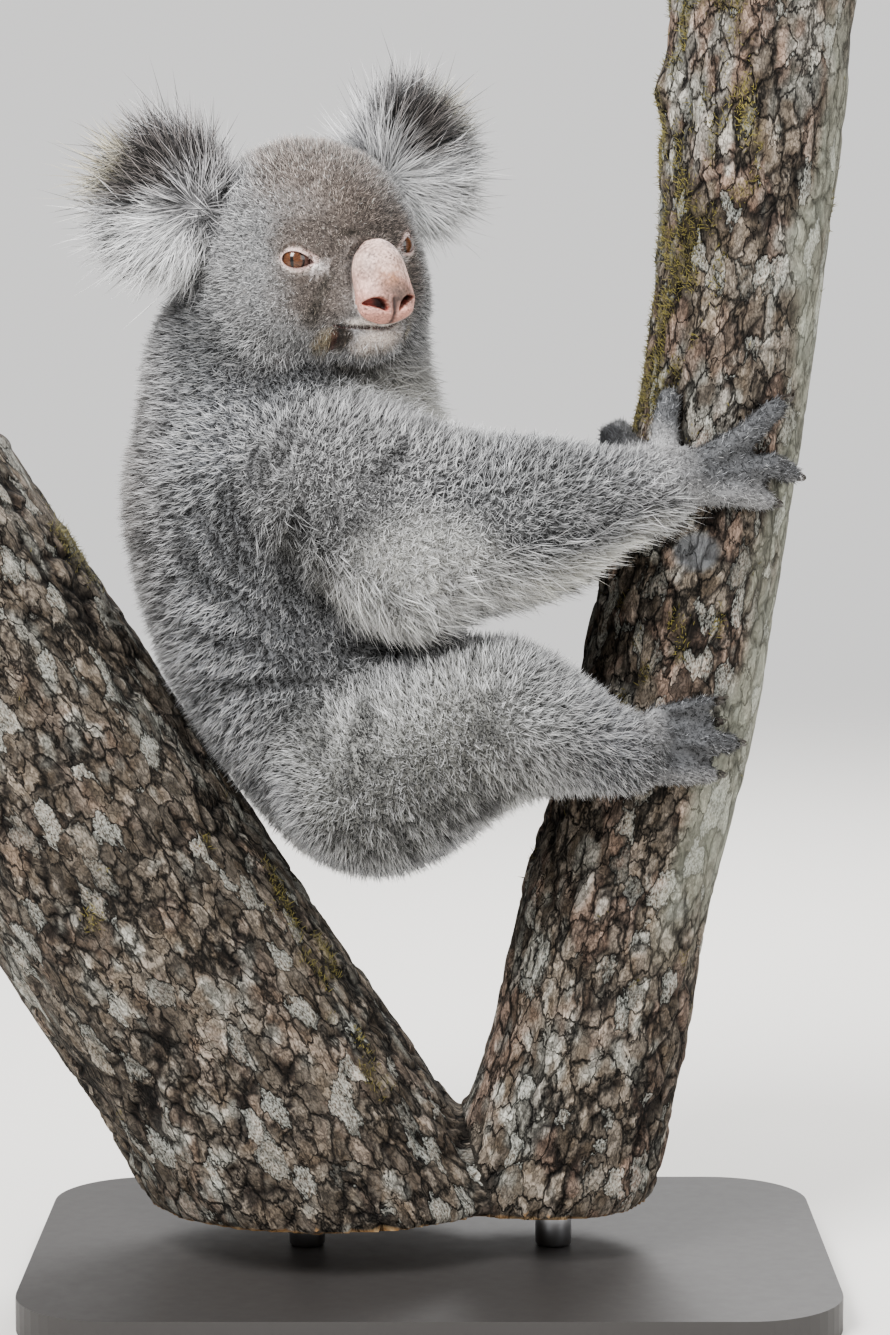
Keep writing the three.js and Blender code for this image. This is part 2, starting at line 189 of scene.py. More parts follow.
def averaged(values, links):
    """Each vertex's value becomes the mean of its neighbours'."""
    here, there, count = links
    flat = values.reshape(len(count), -1).T
    out = np.stack([np.bincount(here, v[there], len(count)) / count for v in flat], -1)
    return out.reshape(values.shape)


def spread(values, links, rounds, where=1.0):
    """Values or points evened out over the surface, by as much as where says."""
    for _ in range(rounds):
        values = mixed(values, averaged(values, links), STEP * where)
    return values


def relaxed(points, links, rounds, where=1.0):
    """Smooths without shrinking."""
    where = np.reshape(where, (-1, 1)) if np.ndim(where) else where
    for _ in range(rounds):
        for push in IN_AND_OUT:
            points = points + (averaged(points, links) - points) * push * where
    return points


def biggest_body(points, tris):
    """Only the largest connected surface."""
    mark = np.arange(len(points))
    while True:
        low = mark[tris].min(1)
        new = mark.copy()
        for k in range(3):
            np.minimum.at(new, tris[:, k], low)
        new = new[new]
        if (new == mark).all():
            break
        mark = new
    winner = np.bincount(mark[tris[:, 0]]).argmax()
    keep = tris[mark[tris[:, 0]] == winner]
    used = np.unique(keep)
    place = np.zeros(len(points), int)
    place[used] = np.arange(len(used))
    return points[used], place[keep]


def make_object(name, points, faces):
    """A smooth-shaded object from arrays of points and of faces that all have as many corners."""
    mesh = bpy.data.meshes.new(name)
    sides = faces.shape[1]
    mesh.vertices.add(len(points))
    mesh.vertices.foreach_set("co", np.ascontiguousarray(points, np.float32).ravel())
    mesh.loops.add(faces.size)
    mesh.loops.foreach_set("vertex_index", np.ascontiguousarray(faces, np.int32).ravel())
    mesh.polygons.add(len(faces))
    mesh.polygons.foreach_set("loop_start", np.arange(0, faces.size, sides, dtype=np.int32))
    mesh.polygons.foreach_set("use_smooth", np.full(len(faces), True))
    mesh.update(calc_edges=True)
    made = bpy.data.objects.new(name, mesh)
    bpy.context.collection.objects.link(made)
    return made


def shown(obj):
    """The surface of a passing object with its modifiers done; the object itself goes."""
    seen = obj.evaluated_get(bpy.context.evaluated_depsgraph_get())
    made = corners_of(seen.to_mesh())
    seen.to_mesh_clear()
    bpy.data.objects.remove(obj)
    return made


def paint(obj, name, colours):
    """Stores a linear colour for each vertex."""
    rgba = np.ones((len(colours), 4), np.float32)
    rgba[:, :3] = colours
    attribute = obj.data.color_attributes.new(name=name, type="FLOAT_COLOR", domain="POINT")
    attribute.data.foreach_set("color", rgba.ravel())


def store(obj, name, values):
    attribute = obj.data.attributes.new(name=name, type="FLOAT", domain="POINT")
    attribute.data.foreach_set("value", np.asarray(values, np.float32))


def node_surface(name):
    return welded(*corners_of(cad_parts[name].data))


def voxel_surface(parts, swell, voxel):
    """One surface round several closed ones, each first swollen, by a number or a function, to join them."""
    points, tris, count = [], [], 0
    for name in parts:
        p, t = node_surface(name)
        by = swell(name, p)[:, None] if callable(swell) else swell
        points.append(p + normals_of(p, t) * by)
        tris.append(t + count)
        count += len(p)
    rough = make_object("rough", np.concatenate(points), np.concatenate(tris))
    remesh = rough.modifiers.new("voxels", "REMESH")
    remesh.mode = "VOXEL"
    remesh.voxel_size = voxel
    return biggest_body(*shown(rough))


def refined(points, tris, chosen):
    """Halves the chosen triangles' edges, so that small forms have points to stand on."""
    mesh = bpy.data.meshes.new("refined")
    mesh.from_pydata(points.tolist(), [], tris.tolist())
    bm = bmesh.new()
    bm.from_mesh(mesh)
    bm.faces.ensure_lookup_table()
    edges = {e for k in np.flatnonzero(chosen) for e in bm.faces[k].edges}
    bmesh.ops.subdivide_edges(bm, edges=list(edges), cuts=1, use_grid_fill=True)
    bmesh.ops.triangulate(bm, faces=bm.faces[:])
    bm.to_mesh(mesh)
    bm.free()
    made = corners_of(mesh)
    bpy.data.meshes.remove(mesh)
    return made


def tree_of(points, tris):
    return BVHTree.FromPolygons(points.tolist(), tris.tolist())


def ring_pairs(rows, around):
    """Each pair of neighbours in each ring of points, apart from the last ring."""
    for row in range(rows - 1):
        for k in range(around):
            yield row * around + k, row * around + (k + 1) % around


def nearest(tree, points):
    """The nearest face and the distance to it for each point."""
    found = [tree.find_nearest(Vector(p)) for p in points]
    return np.array([f[2] for f in found]), np.array([f[3] for f in found])


def area_of(points, tris):
    """Each triangle's area in square mm."""
    a, b, c = (points[tris[:, k]] / MM for k in range(3))
    return np.linalg.norm(np.cross(b - a, c - a), axis=1) / 2


def spaced_out(area, spacing):
    """Triangles drawn evenly by area, one for each strand, at that spacing in mm."""
    total = np.cumsum(area / spacing**2)
    count = int(total[-1])
    spots = (np.arange(count) + rng.random(count) * 0.9) / count * total[-1]
    return np.searchsorted(total, spots).clip(0, len(area) - 1)


# ---------------------------------------------------------------- where things are

def box_middle(node):
    low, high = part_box(node)
    return np.array((low + high) / 2)


HEAD_TURNS = {"yaw": -59, "pitch": 4, "roll": 7}  # degrees
EYE_AHEAD, EYE_ABOVE = 46.0, 7.0  # from the head's middle, mm
HEAD_AXES = np.array(
    Matrix.Rotation(math.radians(HEAD_TURNS["yaw"]), 3, "Z")
    @ Matrix.Rotation(math.radians(HEAD_TURNS["pitch"]), 3, "Y")
    @ Matrix.Rotation(math.radians(HEAD_TURNS["roll"]), 3, "X")
)  # columns: forward, left, up
HEAD = (box_middle("eye_right") + box_middle("eye_left")) / 2
HEAD = HEAD - HEAD_AXES @ np.array([EYE_AHEAD, 0, EYE_ABOVE]) * MM


def in_head(points):
    """World metres as the head's own forward, left and up, in mm."""
    return (points - HEAD) / MM @ HEAD_AXES


def from_head(local):
    return HEAD + np.asarray(local, float) * MM @ HEAD_AXES.T


SIDES = {"right": -1, "left": 1}
EYES = {side: in_head(box_middle("eye_" + side)) for side in SIDES}
EARS = {side: in_head(box_middle("ear_" + side)) for side in SIDES}
EAR_TURN = {"right": 0.5, "left": 0.15}  # how far an ear's front is turned to its own side
EAR_FRONT = {side: unit(np.array([0.86, s * EAR_TURN[side], 0.1])) for side, s in SIDES.items()}
EAR_OUT = {side: unit(np.array([-0.3, s * 0.84, 0.46])) for side, s in SIDES.items()}
EAR_UP = {side: unit(np.cross(EAR_FRONT[side], EAR_OUT[side])) * s for side, s in SIDES.items()}

FLESH = [n for n in sorted(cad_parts) if n.split("_")[0] not in ("stand", "perch", "eye", "claw")]

# ---------------------------------------------------------------- the skin

VOXEL = 2.15 * MM
SWELL = 0.6 * MM
DIGIT_THINNED = 0.3 * MM  # hands and feet are made thinner first, so that their digits stay apart
DIGIT_START = (3 * MM, 12 * MM)  # from the limb's end, where that begins
COAT_DEPTH = {  # how far the skin lies inside the coat's outline, mm
    "torso": 7.5, "neck": 7, "upper": 7, "forearm": 6.5, "thigh": 7.5, "shank": 6.5,
    "hand": 1.3, "foot": 1.4, "head": 5.0, "ear": 1.5, "nose": 0.6,
}
SOFTENING = {  # how freely a part's facets are rounded off
    "torso": 1, "neck": 1, "upper": 1, "forearm": 0.8, "thigh": 1, "shank": 0.8,
    "hand": 0, "foot": 0, "head": 0.3, "ear": 0, "nose": 0,
}


def kind_of(node):
    return node.split("_")[0]


def swell_of(node, points):
    if kind_of(node) not in ("hand", "foot"):
        return np.full(len(points), SWELL)
    limb = {"hand": "forearm_", "foot": "shank_"}[kind_of(node)] + node.split("_")[-1]
    away = nearest(tree_of(*node_surface(limb)), points)[1]
    return mixed(SWELL, -DIGIT_THINNED, ramp(*DIGIT_START, away))


skin_points, skin_tris = voxel_surface(FLESH + ["eye_left", "eye_right"], swell_of, VOXEL)
flesh_points, flesh_tris, flesh_owner = [], [], []
for index, node in enumerate(FLESH):
    p, t = node_surface(node)
    flesh_tris.append(t + sum(len(q) for q in flesh_points))
    flesh_points.append(p)
    flesh_owner += [index] * len(t)
flesh_tree = tree_of(np.concatenate(flesh_points), np.concatenate(flesh_tris))
flesh_owner = np.array(flesh_owner)


def owners(points):
    return flesh_owner[nearest(flesh_tree, points)[0]]


def belongs(test, owner):
    """1 for each owner that the test is true of, 0 for the others."""
    return np.array([float(test(n)) for n in FLESH])[owner]


def thinned_out(points, tris, freely, share):
    """Fewer triangles where freely is 1, and all of them where it is 0."""
    full = make_object("full", points, tris)
    group = full.vertex_groups.new(name="freely")
    for level in (0.5, 1.0):
        some = np.flatnonzero((freely > level - 0.26) & (freely <= level + 0.26))
        group.add(some.tolist(), level, "REPLACE")
    thin = full.modifiers.new("thin", "DECIMATE")
    thin.ratio, thin.vertex_group = share, "freely"
    return shown(full)


def by_kind(table, owner):
    return np.array([table[kind_of(n)] for n in FLESH], float)[owner]


BODY_SHARE = 0.34  # of the body's triangles that are kept
EXTREMITIES = ("hand", "foot", "head", "ear", "nose")  # all of theirs are kept
freely = belongs(lambda n: kind_of(n) not in EXTREMITIES, owners(skin_points))
links = links_of(skin_tris, len(skin_points))
skin_points = spread(skin_points, links, 8, freely[:, None])
skin_points, skin_tris = thinned_out(skin_points, skin_tris, freely, BODY_SHARE)
links = links_of(skin_tris, len(skin_points))
soft = spread(by_kind(SOFTENING, owners(skin_points)), links, 12)
skin_points = spread(skin_points, links, 10, soft[:, None])
skin_points = relaxed(skin_points, links, 12)

# finer points for the face, finer again at the eyes, the nose and the mouth, and once more at the eyes
FACE = (np.array([58, 0, -8]), np.array([44, 58, 56]))  # its middle and half its size, mm
FINER = [  # for each round, the places and their sizes, mm, and how far forward in the head it starts
    ([FACE], 26),
    ([(EYES["right"], 16), (EYES["left"], 16), ((76, 0, -36), 27)], 26),
    ([(EYES["right"], 13.5), (EYES["left"], 13.5)], -math.inf),
]
for places, ahead in FINER:
    q = in_head(skin_points[skin_tris].mean(1))
    fine = np.any([gap_to(q, *place) < 1 for place in places], axis=0) & (q[:, 0] > ahead)
    skin_points, skin_tris = refined(skin_points, skin_tris, fine)
links = links_of(skin_tris, len(skin_points))
q = in_head(skin_points)
on_face = ramp(1.1, 0.9, gap_to(q, *FACE)) * (q[:, 0] > 24)
skin_points = relaxed(skin_points, links, 10, on_face)

# how deep inside the coat's outline the skin lies on the head: it dips under the nose pad
FACE_DEPTH, NAPE_DEPTH, EYE_DEPTH, MUZZLE_DEPTH, NOSE_DEPTH = 2.6, 6.5, 0.4, 0.7, 9.0  # mm
owner = owners(skin_points)
q = in_head(skin_points)
is_head = belongs(lambda n: kind_of(n) in ("head", "nose"), owner) > 0
depth = np.where(is_head, mixed(FACE_DEPTH, NAPE_DEPTH, ramp(35, -10, q[:, 0])), by_kind(COAT_DEPTH, owner))
depth = spread(depth, links, 14)
for eye in EYES.values():
    depth = mixed(depth, EYE_DEPTH, ramp(17, 8, gap_to(q, eye)) * is_head)
under_nose = spread(belongs(lambda n: n == "nose", owner), links, 2)
depth = mixed(depth, MUZZLE_DEPTH, ramp(38, 20, gap_to(q, (80, 0, -24), (1, 1, 0.8))) * is_head)
depth = mixed(depth, NOSE_DEPTH, ramp(0.72, 1.0, under_nose))

skin_normals = normals_of(skin_points, skin_tris)
skin_points = skin_points - skin_normals * depth[:, None] * MM

# the ears' gristle is a smaller, thinner leaf inside the hair
EAR_LEAF = (0.52, 0.70)  # its thickness and its width, as shares of the hair's
EAR_ROOT = 20.0  # mm from the ear's middle towards the head, where the leaf doesn't shrink
ear_share = {}
for side in SIDES:
    ear_share[side] = spread(belongs(lambda n: n == "ear_" + side, owner), links, 10)
    q = in_head(skin_points)
    root = EARS[side] - EAR_OUT[side] * EAR_ROOT
    rel = q - root
    through = (rel @ EAR_FRONT[side])[:, None] * EAR_FRONT[side]
    leaf = root + through * EAR_LEAF[0] + (rel - through) * EAR_LEAF[1]
    skin_points = from_head(mixed(q, leaf, ramp(0.15, 0.75, ear_share[side])[:, None]))

# ---------------------------------------------------------------- the face

BALL = 9.3  # the eyeball's radius, mm
BALL_SINK = 2.2  # how far it sits back from the solid model's eye
LID = 0.9  # a lid's thickness
EYE_OUT = 37  # degrees the opening turns away from straight ahead
SLANT = 0.20  # how much lower the inner corner lies, for each mm towards it
OUTER, INNER, WIDEST = -7.3, 11.5, 0.4  # the opening's corners, and where it is widest
LID_TOP, LID_BOTTOM = 4.9, 4.3
LID_HOLD = (6.5, 1.0)  # the lid's skin follows the ball from this far off to this near
LID_CREASE, LID_BAG = (0.8, 3.4, 0.8), (0.6, 2.8, 1.2)  # depth or height, distance from the opening, width
PIT = 2.4  # how far the skin dips behind the ball inside the opening


def eye_axes(side):
    s, turn = SIDES[side], math.radians(EYE_OUT)
    out = unit(np.array([math.cos(turn), s * math.sin(turn), 0.06]))
    inner = np.array([math.sin(turn), -s * math.cos(turn), -SLANT])
    inner = unit(inner - out * (inner @ out))
    return out, inner, np.cross(out, inner) * -s


def opening(q, side):
    """For points near an eye: along, up and out from the ball's middle, and how far outside the opening."""
    out, inner, up = eye_axes(side)
    rel = q - (EYES[side] - out * BALL_SINK)
    a, b, c = rel @ inner, rel @ up, rel @ out
    t = (a - OUTER) / (INNER - OUTER)
    before = np.sqrt(np.clip(1 - ((WIDEST - t) / WIDEST) ** 2, 0, 1))
    after = np.clip(1 - ((t - WIDEST) / (1 - WIDEST)) ** 2, 0, 1) ** 1.3
    shape = np.where(t < WIDEST, before, after)
    gap = np.maximum(b - LID_TOP * shape, -LID_BOTTOM * shape - b)
    gap = np.where(t < 0, np.hypot(a - OUTER, b), gap)
    gap = np.where(t > 1, np.hypot(a - INNER, b), gap)
    gap = np.where(c > 0, gap, 40.0)
    return a, b, c, gap


def with_lids(points):
    q = in_head(points)
    for side in SIDES:
        out = eye_axes(side)[0]
        a, b, c, gap = opening(q, side)
        r = np.hypot(a, b)
        lid = np.sqrt(np.clip((BALL + LID) ** 2 - r**2, 4, None))
        hold = ramp(*LID_HOLD, gap) * ramp(BALL + 2.5, BALL - 1.5, r)
        new = mixed(c, lid, hold)
        crease = LID_CREASE[0] * hill(gap, *LID_CREASE[1:]) * ramp(-2, 3, b) * ramp(9, 5, np.abs(a))
        bag = LID_BAG[0] * hill(gap, *LID_BAG[1:]) * ramp(1, -3, b) * ramp(11, 7, np.abs(a))
        new = new - crease + bag
        pit = np.maximum(np.sqrt(np.clip(BALL**2 - r**2, 1, None)) - PIT, new - PIT)
        new = mixed(new, pit, ramp(0.3, -0.5, gap))
        over_ball = np.sqrt(np.clip((BALL + LID) ** 2 - r**2, 0, None))
        covered = (gap > 0) & (r < BALL + LID) & (c > 0)
        new = np.where(covered, np.maximum(new, over_ball + 0.35 * bag - crease * 0.5), new)
        near = (gap < 12) & (c > 0)
        q = np.where(near[:, None], q + (new - c)[:, None] * out, q)
    return from_head(q)


nose_points, nose_tris = voxel_surface(["nose"], 0.0, 0.75 * MM)
nose_links = links_of(nose_tris, len(nose_points))
nose_points = relaxed(spread(nose_points, nose_links, 22), nose_links, 6)
nose_points = nose_points + normals_of(nose_points, nose_tris) * 0.45 * MM

nose_tree = tree_of(nose_points, nose_tris)
NOSE_MIDDLE = 0.5  # how far left of the head's middle plane the nose lies, mm
GROOVE = -0.8  # and the groove between the nostrils

MOUTH_UP, MOUTH_HALF = -32.8, 24.0  # the mouth line's height and half its length, mm
MOUTH_WIDE = 1.05  # the line's own width, mm
CHIN_LOW = -52.0  # where the creases from its corners end
MOUTH_DEEP, CORNER_DEEP, CHIN_HIGH, LIP_HIGH = 3.0, 2.2, 2.4, 0.8  # how far each goes in or stands out, mm


def mouth_line(q):
    """How much each point lies on the line of the mouth, and on the crease down from its corners."""
    f, l, u = q.T
    across = np.abs(l)
    height = MOUTH_UP + 1.8 * (across / MOUTH_HALF) ** 2 - 1.2 * hill(l, 0, 6)
    line = hill(u, height, MOUTH_WIDE) * ramp(MOUTH_HALF + 3, MOUTH_HALF - 3, across) * (f > 50)
    side = MOUTH_HALF - 0.5 - 0.18 * (MOUTH_UP - u)
    tall = ramp(MOUTH_UP + 2, MOUTH_UP - 3, u) * ramp(CHIN_LOW, CHIN_LOW + 10, u)
    return line, hill(across, side, 2.0) * tall * (f > 45)


def with_mouth(points, tris):
    q = in_head(points)
    f, l, u = q.T
    line, crease = mouth_line(q)
    chin = hill(l, 0, 17) * hill(u, -42, 8) * (f > 55)
    lip = hill(u, MOUTH_UP + 3.5, 2.6) * ramp(25, 14, np.abs(l)) * (f > 58)
    face = (np.abs(l) < 45) & (f > 30)
    lift = CHIN_HIGH * chin + LIP_HIGH * lip - MOUTH_DEEP * line - CORNER_DEEP * crease
    lift = np.where(face, lift, 0)
    return points + normals_of(points, tris) * lift[:, None] * MM


FAR = 60.0  # mm, for all that is out of reach
FOLD_HIGH, FOLD_DEEP = 1.7, 0.9  # the fold over the nose and the groove before it, mm


def from_nose(points, middle, reach):
    """How far each point is from the nose pad, mm, worked out only within reach of a place."""
    q = in_head(points)
    away = np.full(len(q), FAR)
    close = gap_to(q, middle) < reach
    away[close] = nearest(nose_tree, points[close])[1] / MM
    return away


def with_nose_fold(points, tris):
    """A raised fold of skin over the top of the nose, with a groove between them."""
    f, _, u = in_head(points).T
    away = np.where(f > 40, from_nose(points, (76, 0, 0), 45), FAR)
    raised = FOLD_HIGH * ramp(0, 12, u) * hill(away, 5.0, 2.2)
    sunk = FOLD_DEEP * ramp(-26, -12, u) * hill(away, 1.2, 1.6)
    return points + normals_of(points, tris) * (raised - sunk)[:, None] * MM


skin_points = with_mouth(skin_points, skin_tris)
skin_points = with_nose_fold(skin_points, skin_tris)
skin_points = relaxed(skin_points, links, 3)
skin_points = with_lids(skin_points)
skin_normals = normals_of(skin_points, skin_tris)


# ---------------------------------------------------------------- the nose

NOSTRIL_OUT, NOSTRIL_UP = 8.6, -18.0  # a nostril's middle, mm
NOSTRIL_SLOPE = math.radians(22)
NOSTRIL_LONG, NOSTRIL_ABOVE, NOSTRIL_BELOW = 6.6, 3.5, 2.4  # half its length, and its height above and below
NARROWER = {1: 0.62, -1: 1}  # the left nostril is seen edge on, and is narrower
NOSTRIL_DEEP, GROOVE_DEEP, WING_HIGH = 6.5, 1.1, 2.4  # mm


def nostrils(q):
    """How deep inside a nostril each point lies, from 0 to 1, and how much on the groove down to the lip."""
    f, l, u = q.T
    inside = np.zeros(len(q))
    cos, sin = math.cos(NOSTRIL_SLOPE), math.sin(NOSTRIL_SLOPE)
    for s in (-1, 1):
        x, y = (l - GROOVE) * s - NOSTRIL_OUT, u - NOSTRIL_UP
        along = x * cos + y * sin
        across = y * cos - x * sin + 0.05 * along**2
        tall = np.where(across > 0, NOSTRIL_ABOVE, NOSTRIL_BELOW) * NARROWER[s]
        inside = np.maximum(inside, ramp(1.2, 0.7, np.hypot(along / NOSTRIL_LONG, across / tall)))
    groove = hill(l, GROOVE, 1.3) * ramp(-12, -18, u)
    return inside * (f > 70), groove * (f > 72)


nose_q = in_head(nose_points)
f, l, u = nose_q.T
hole, furrow = nostrils(nose_q)
wing = hill(u, -24.0, 3.6) * hill(np.abs(l - NOSE_MIDDLE), 8.5, 5) * (f > 74)
nose_q[:, 0] += WING_HIGH * wing * (1 - hole) - NOSTRIL_DEEP * hole - GROOVE_DEEP * furrow
nose_points = relaxed(from_head(nose_q), nose_links, 1)


# ---------------------------------------------------------------- markings

def blob(q, at, size, soft=0.35):
    """1 inside an egg at that place, 0 outside, with a soft edge."""
    return ramp(1 + soft, 1 - soft, gap_to(q, at, size))


# each: a hair's root and tip, and the share of dark hairs
GREY = (linear(52, 53, 55), linear(242, 244, 248), 0.2)
BACK = (linear(54, 50, 48), linear(224, 217, 212), 0.26)
ARM = (linear(64, 63, 64), linear(255, 255, 255), 0.13)
FOREARM = (linear(40, 40, 41), linear(224, 225, 226), 0.30)
KNEE = (linear(104, 103, 98), linear(255, 255, 250), 0.1)
FLAP = (linear(196, 195, 190), linear(255, 255, 252) * 1.2, 0.03)
CREAM = (linear(172, 168, 156), linear(248, 247, 238), 0.0)
WHITE = (linear(186, 184, 176), linear(240, 238, 230), 0.0)
PAW = (linear(120, 119, 119), linear(255, 255, 255), 0.12)
FINGER = (linear(7, 7, 8), linear(190, 192, 196), 0.72)
# dark digit fur made near black with painted shade
SHADED_KNUCKLE = (linear(8, 8, 9), linear(62, 63, 68), 0.55)
CROWN = (linear(62, 54, 50), linear(200, 187, 178), 0.28)
BRIDGE = (linear(54, 46, 42), linear(184, 170, 160), 0.28)
CHEEK = (linear(62, 62, 63), linear(255, 255, 255), 0.2)
MUZZLE = (linear(54, 47, 44), linear(180, 167, 158), 0.32)
LIP = (linear(170, 160, 152), linear(226, 219, 211), 0.03)
CHIN = (linear(180, 166, 156), linear(250, 243, 236), 0.04)
RUST = (linear(98, 88, 74), linear(232, 214, 182), 0.14)
# painted shadow in the corners of the mouth, running down from them
MOUTH_CORNER_SHADE = (linear(20, 15, 13), linear(88, 76, 64), 0.5)
TEAR = (linear(206, 196, 192), linear(246, 241, 237), 0.02)
SHADE = (linear(30, 27, 25), linear(120, 112, 100), 0.30)
LID_SKIN = (linear(180, 148, 140), linear(216, 192, 186), 0.05)
EAR_DARK = (linear(20, 18, 18), linear(140, 133, 130), 0.5)
EAR_SILVER = (linear(84, 84, 86), linear(252, 252, 254), 0.2)
EAR_WHITE = (linear(246, 247, 249), linear(255, 255, 255) * 1.4, 0.0)
EAR_RIM = (linear(92, 90, 86), linear(222, 212, 178), 0.10)

# each: the mark, its middle and half its size in the head's forward, left and up, mm
# any that lies off the middle is on both sides
HEAD_MARKS = [
    (CROWN, (26, 0, 52), (66, 46, 44)),
    (BRIDGE, (64, 0, 26), (26, 24, 26)),
    (CHEEK, (14, 60, -8), (56, 24, 52)),
    (CHEEK, (30, 44, -44), (44, 30, 26)),
    (MUZZLE, (66, 30, -4), (30, 26, 32)),
    (MUZZLE, (60, 34, 20), (22, 18, 16)),
    (LIP, (84, 9, -29), (14, 12, 4.5)),
    (SHADE, (58, 20, -62), (30, 24, 8)),
    (RUST, (64, 27, -46), (14, 6.5, 12)),
    # painted shadow in each corner of the mouth
    (MOUTH_CORNER_SHADE, (68, 21.2, -40), (10, 3.3, 9.5)),
    (CHIN, (78, 0, -41.5), (20, 16, 8.5)),
    (SHADE, (72, 9, 20.5), (10, 10, 3.0)),
]
TORSO_MIDDLE, TORSO_HALF = box_middle("torso"), np.array(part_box("torso")[1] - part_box("torso")[0]) / 2

# painted shade of a furrow down the muzzle from the eye's inner corner, in the head's mm
FURROW = ((64, 24, -2), (58, 34, -27))
THROAT = ((-0.014, -0.03, 0.534), (0.042, 0.1, 0.034))  # the pale wool below the chin
FAR_KNUCKLE = ((0.108, -0.03, 0.516), (0.024, 0.03, 0.016))  # the dark knuckle beside the limb, painted near black: dark fur with painted shade over it
FLAP_PLACE = ((-0.02, 0, -0.010), (0.056, 0.05, 0.040))  # its middle from the elbow, and half its size
EAR_PATCHES = {"right": (34, 28), "left": (22, 24)}  # half the dark patch's size, out and up, mm


def arm_points(side):
    """The elbow and the wrist, from the boxes of the forearm and its neighbours."""
    upper, fore, hand = (box_middle(n + "_" + side) for n in ("upper_arm", "forearm", "hand"))
    return mixed(upper, fore, 0.42) + np.array([0, SIDES[side] * 0.012, -0.018]), mixed(fore, hand, 0.6)


def leg_points(side):
    thigh, shank, foot = (box_middle(n + "_" + side) for n in ("thigh", "shank", "foot"))
    return mixed(thigh, shank, 0.6), mixed(shank, foot, 0.6)


def on_side_of(points, side):
    """1 on that side of the body, 0 on the other."""
    return ramp(0, 0.01, points[:, 1] * SIDES[side] + 0.02)


def flap_of(points, side, kinds):
    """The loose pale flap of skin and wool behind and below the elbow."""
    at, size = FLAP_PLACE
    near = ramp(1.2, 0.65, gap_to(points - arm_points(side)[0], at, size))
    return near * on_side_of(points, side) * (kinds["forearm"] + kinds["upper"] > 0.3)


def body_marks(points, normals, kinds):
    """The body's and the limbs' markings, from the lowest up, each with how much it covers each point."""
    trunk, arm = kinds["torso"] + kinds["neck"], kinds["forearm"] + kinds["upper"]
    yield BACK, ramp(-0.5, -1.0, (points - TORSO_MIDDLE)[:, 0] / TORSO_HALF[0]) * 0.9
    front = ramp(0.15, 0.75, normals[:, 0]) * ramp(0.75, 0.35, np.abs(normals[:, 1])) * trunk
    under = ramp(-0.55, -0.95, normals[:, 2]) * kinds["torso"]
    throat = blob(points + noise(points, 0.012, 23)[:, None] * 0.004, *THROAT) * trunk
    yield WHITE, np.maximum.reduce([front, under, throat])
    for side, s in SIDES.items():
        mine, outward = on_side_of(points, side), normals[:, 1] * s
        wrist, (knee, ankle) = arm_points(side)[1], leg_points(side)
        yield ARM, kinds["upper"] * mine
        yield FOREARM, kinds["forearm"] * mine
        yield KNEE, kinds["thigh"] * mine * ramp(0.2, 0.7, outward) * 0.8
        yield KNEE, mine * ramp(0.075, 0.03, gap_to(points, knee)) * 0.8
        yield CREAM, ramp(-0.35, -0.8, normals[:, 2]) * arm * mine
        yield WHITE, ramp(0.2, 0.7, -outward) * (arm + kinds["thigh"] + kinds["shank"]) * mine * 0.8
        yield FLAP, flap_of(points, side, kinds) * 0.9
        paw = (kinds["hand"] + kinds["foot"]) * on_side[side]
        yield PAW, paw
        for tip, part in ((wrist, "hand"), (ankle, "foot")):
            this = kinds[part] * on_side[side]
            yield FINGER, ramp(0.026, 0.042, gap_to(points, tip)) * this
            yield ARM, ramp(-0.008, -0.022, points[:, 2] - box_middle(part + "_" + side)[2]) * this * 0.8
            if (part, side) == ("hand", "left"):
                # painted shade: the far hand's digits near black
                yield SHADED_KNUCKLE, ramp(0.012, 0.028, gap_to(points, tip)) * paw * 0.9
    yield SHADED_KNUCKLE, blob(points, *FAR_KNUCKLE) * kinds["hand"] * 0.95


def head_marks(q, kinds, ears):
    """The same for the head and the ears, from places in the head's mm."""
    skull = kinds["head"] + kinds["nose"]
    yield CHEEK, skull * 0.75
    for mark, (ahead, left, up), size in HEAD_MARKS:
        for s in ((1,) if left == 0 else (1, -1)):
            soft = 0.55 if min(size) > 12 else 0.35
            yield mark, blob(q + noise(q, 9.0, 21)[:, None] * 2.5, (ahead, left * s, up), size, soft) * skull
    for side in SIDES:
        share = np.clip(ears[side] * 1.6, 0, 1)
        rel = q - EARS[side]
        front = ramp(-2, 4, rel @ EAR_FRONT[side])
        flat = np.stack([rel @ EAR_OUT[side], rel @ EAR_UP[side]], -1) + noise(q, 12, 22)[:, None] * 4
        yield EAR_SILVER, share
        yield EAR_DARK, share * front * blob(flat, (-4, 12), EAR_PATCHES[side], 0.5)
        base = EAR_WHITE if side == "left" else EAR_SILVER
        yield base, share * front * blob(flat, (-22, 0), (12, 22), 0.6) * 0.6
        white = ramp(-6, 2, rel @ EAR_FRONT[side]) * blob(flat, (-13, -21), (23, 18), 0.5)
        yield EAR_WHITE, share * white
        yield EAR_RIM, share * blob(flat, (30, 18), (12, 36), 0.5) * 0.75
    for side, s in SIDES.items():
        a, b, c, gap = opening(q, side)
        start, end = (np.array(at) * (1, s, 1) for at in FURROW)
        line = end - start
        t = np.clip((q - start) @ line / (line @ line), 0, 1)
        off = gap_to(q - start, t[:, None] * line)
        yield SHADE, hill(off + noise(q, 2.5, 24), 0, mixed(3.0, 5.0, t)) * 0.75 * skull
        wider = 1.6 * ramp(0, 9, a) * ramp(-3, 2, b)
        yield LID_SKIN, ramp(3.0, 1.0, gap - wider + noise(q, 3.0, 5) * 0.9) * 0.8 * skull
        streak = blob(np.stack([a - b * 0.5, b], -1), (16.6, -2.6), (4.6, 5.6), 0.7) * (c > 0)
        yield TEAR, ramp(0.2, 1.0, streak + noise(q, 1.3, 6) * 0.5) * 0.75 * skull


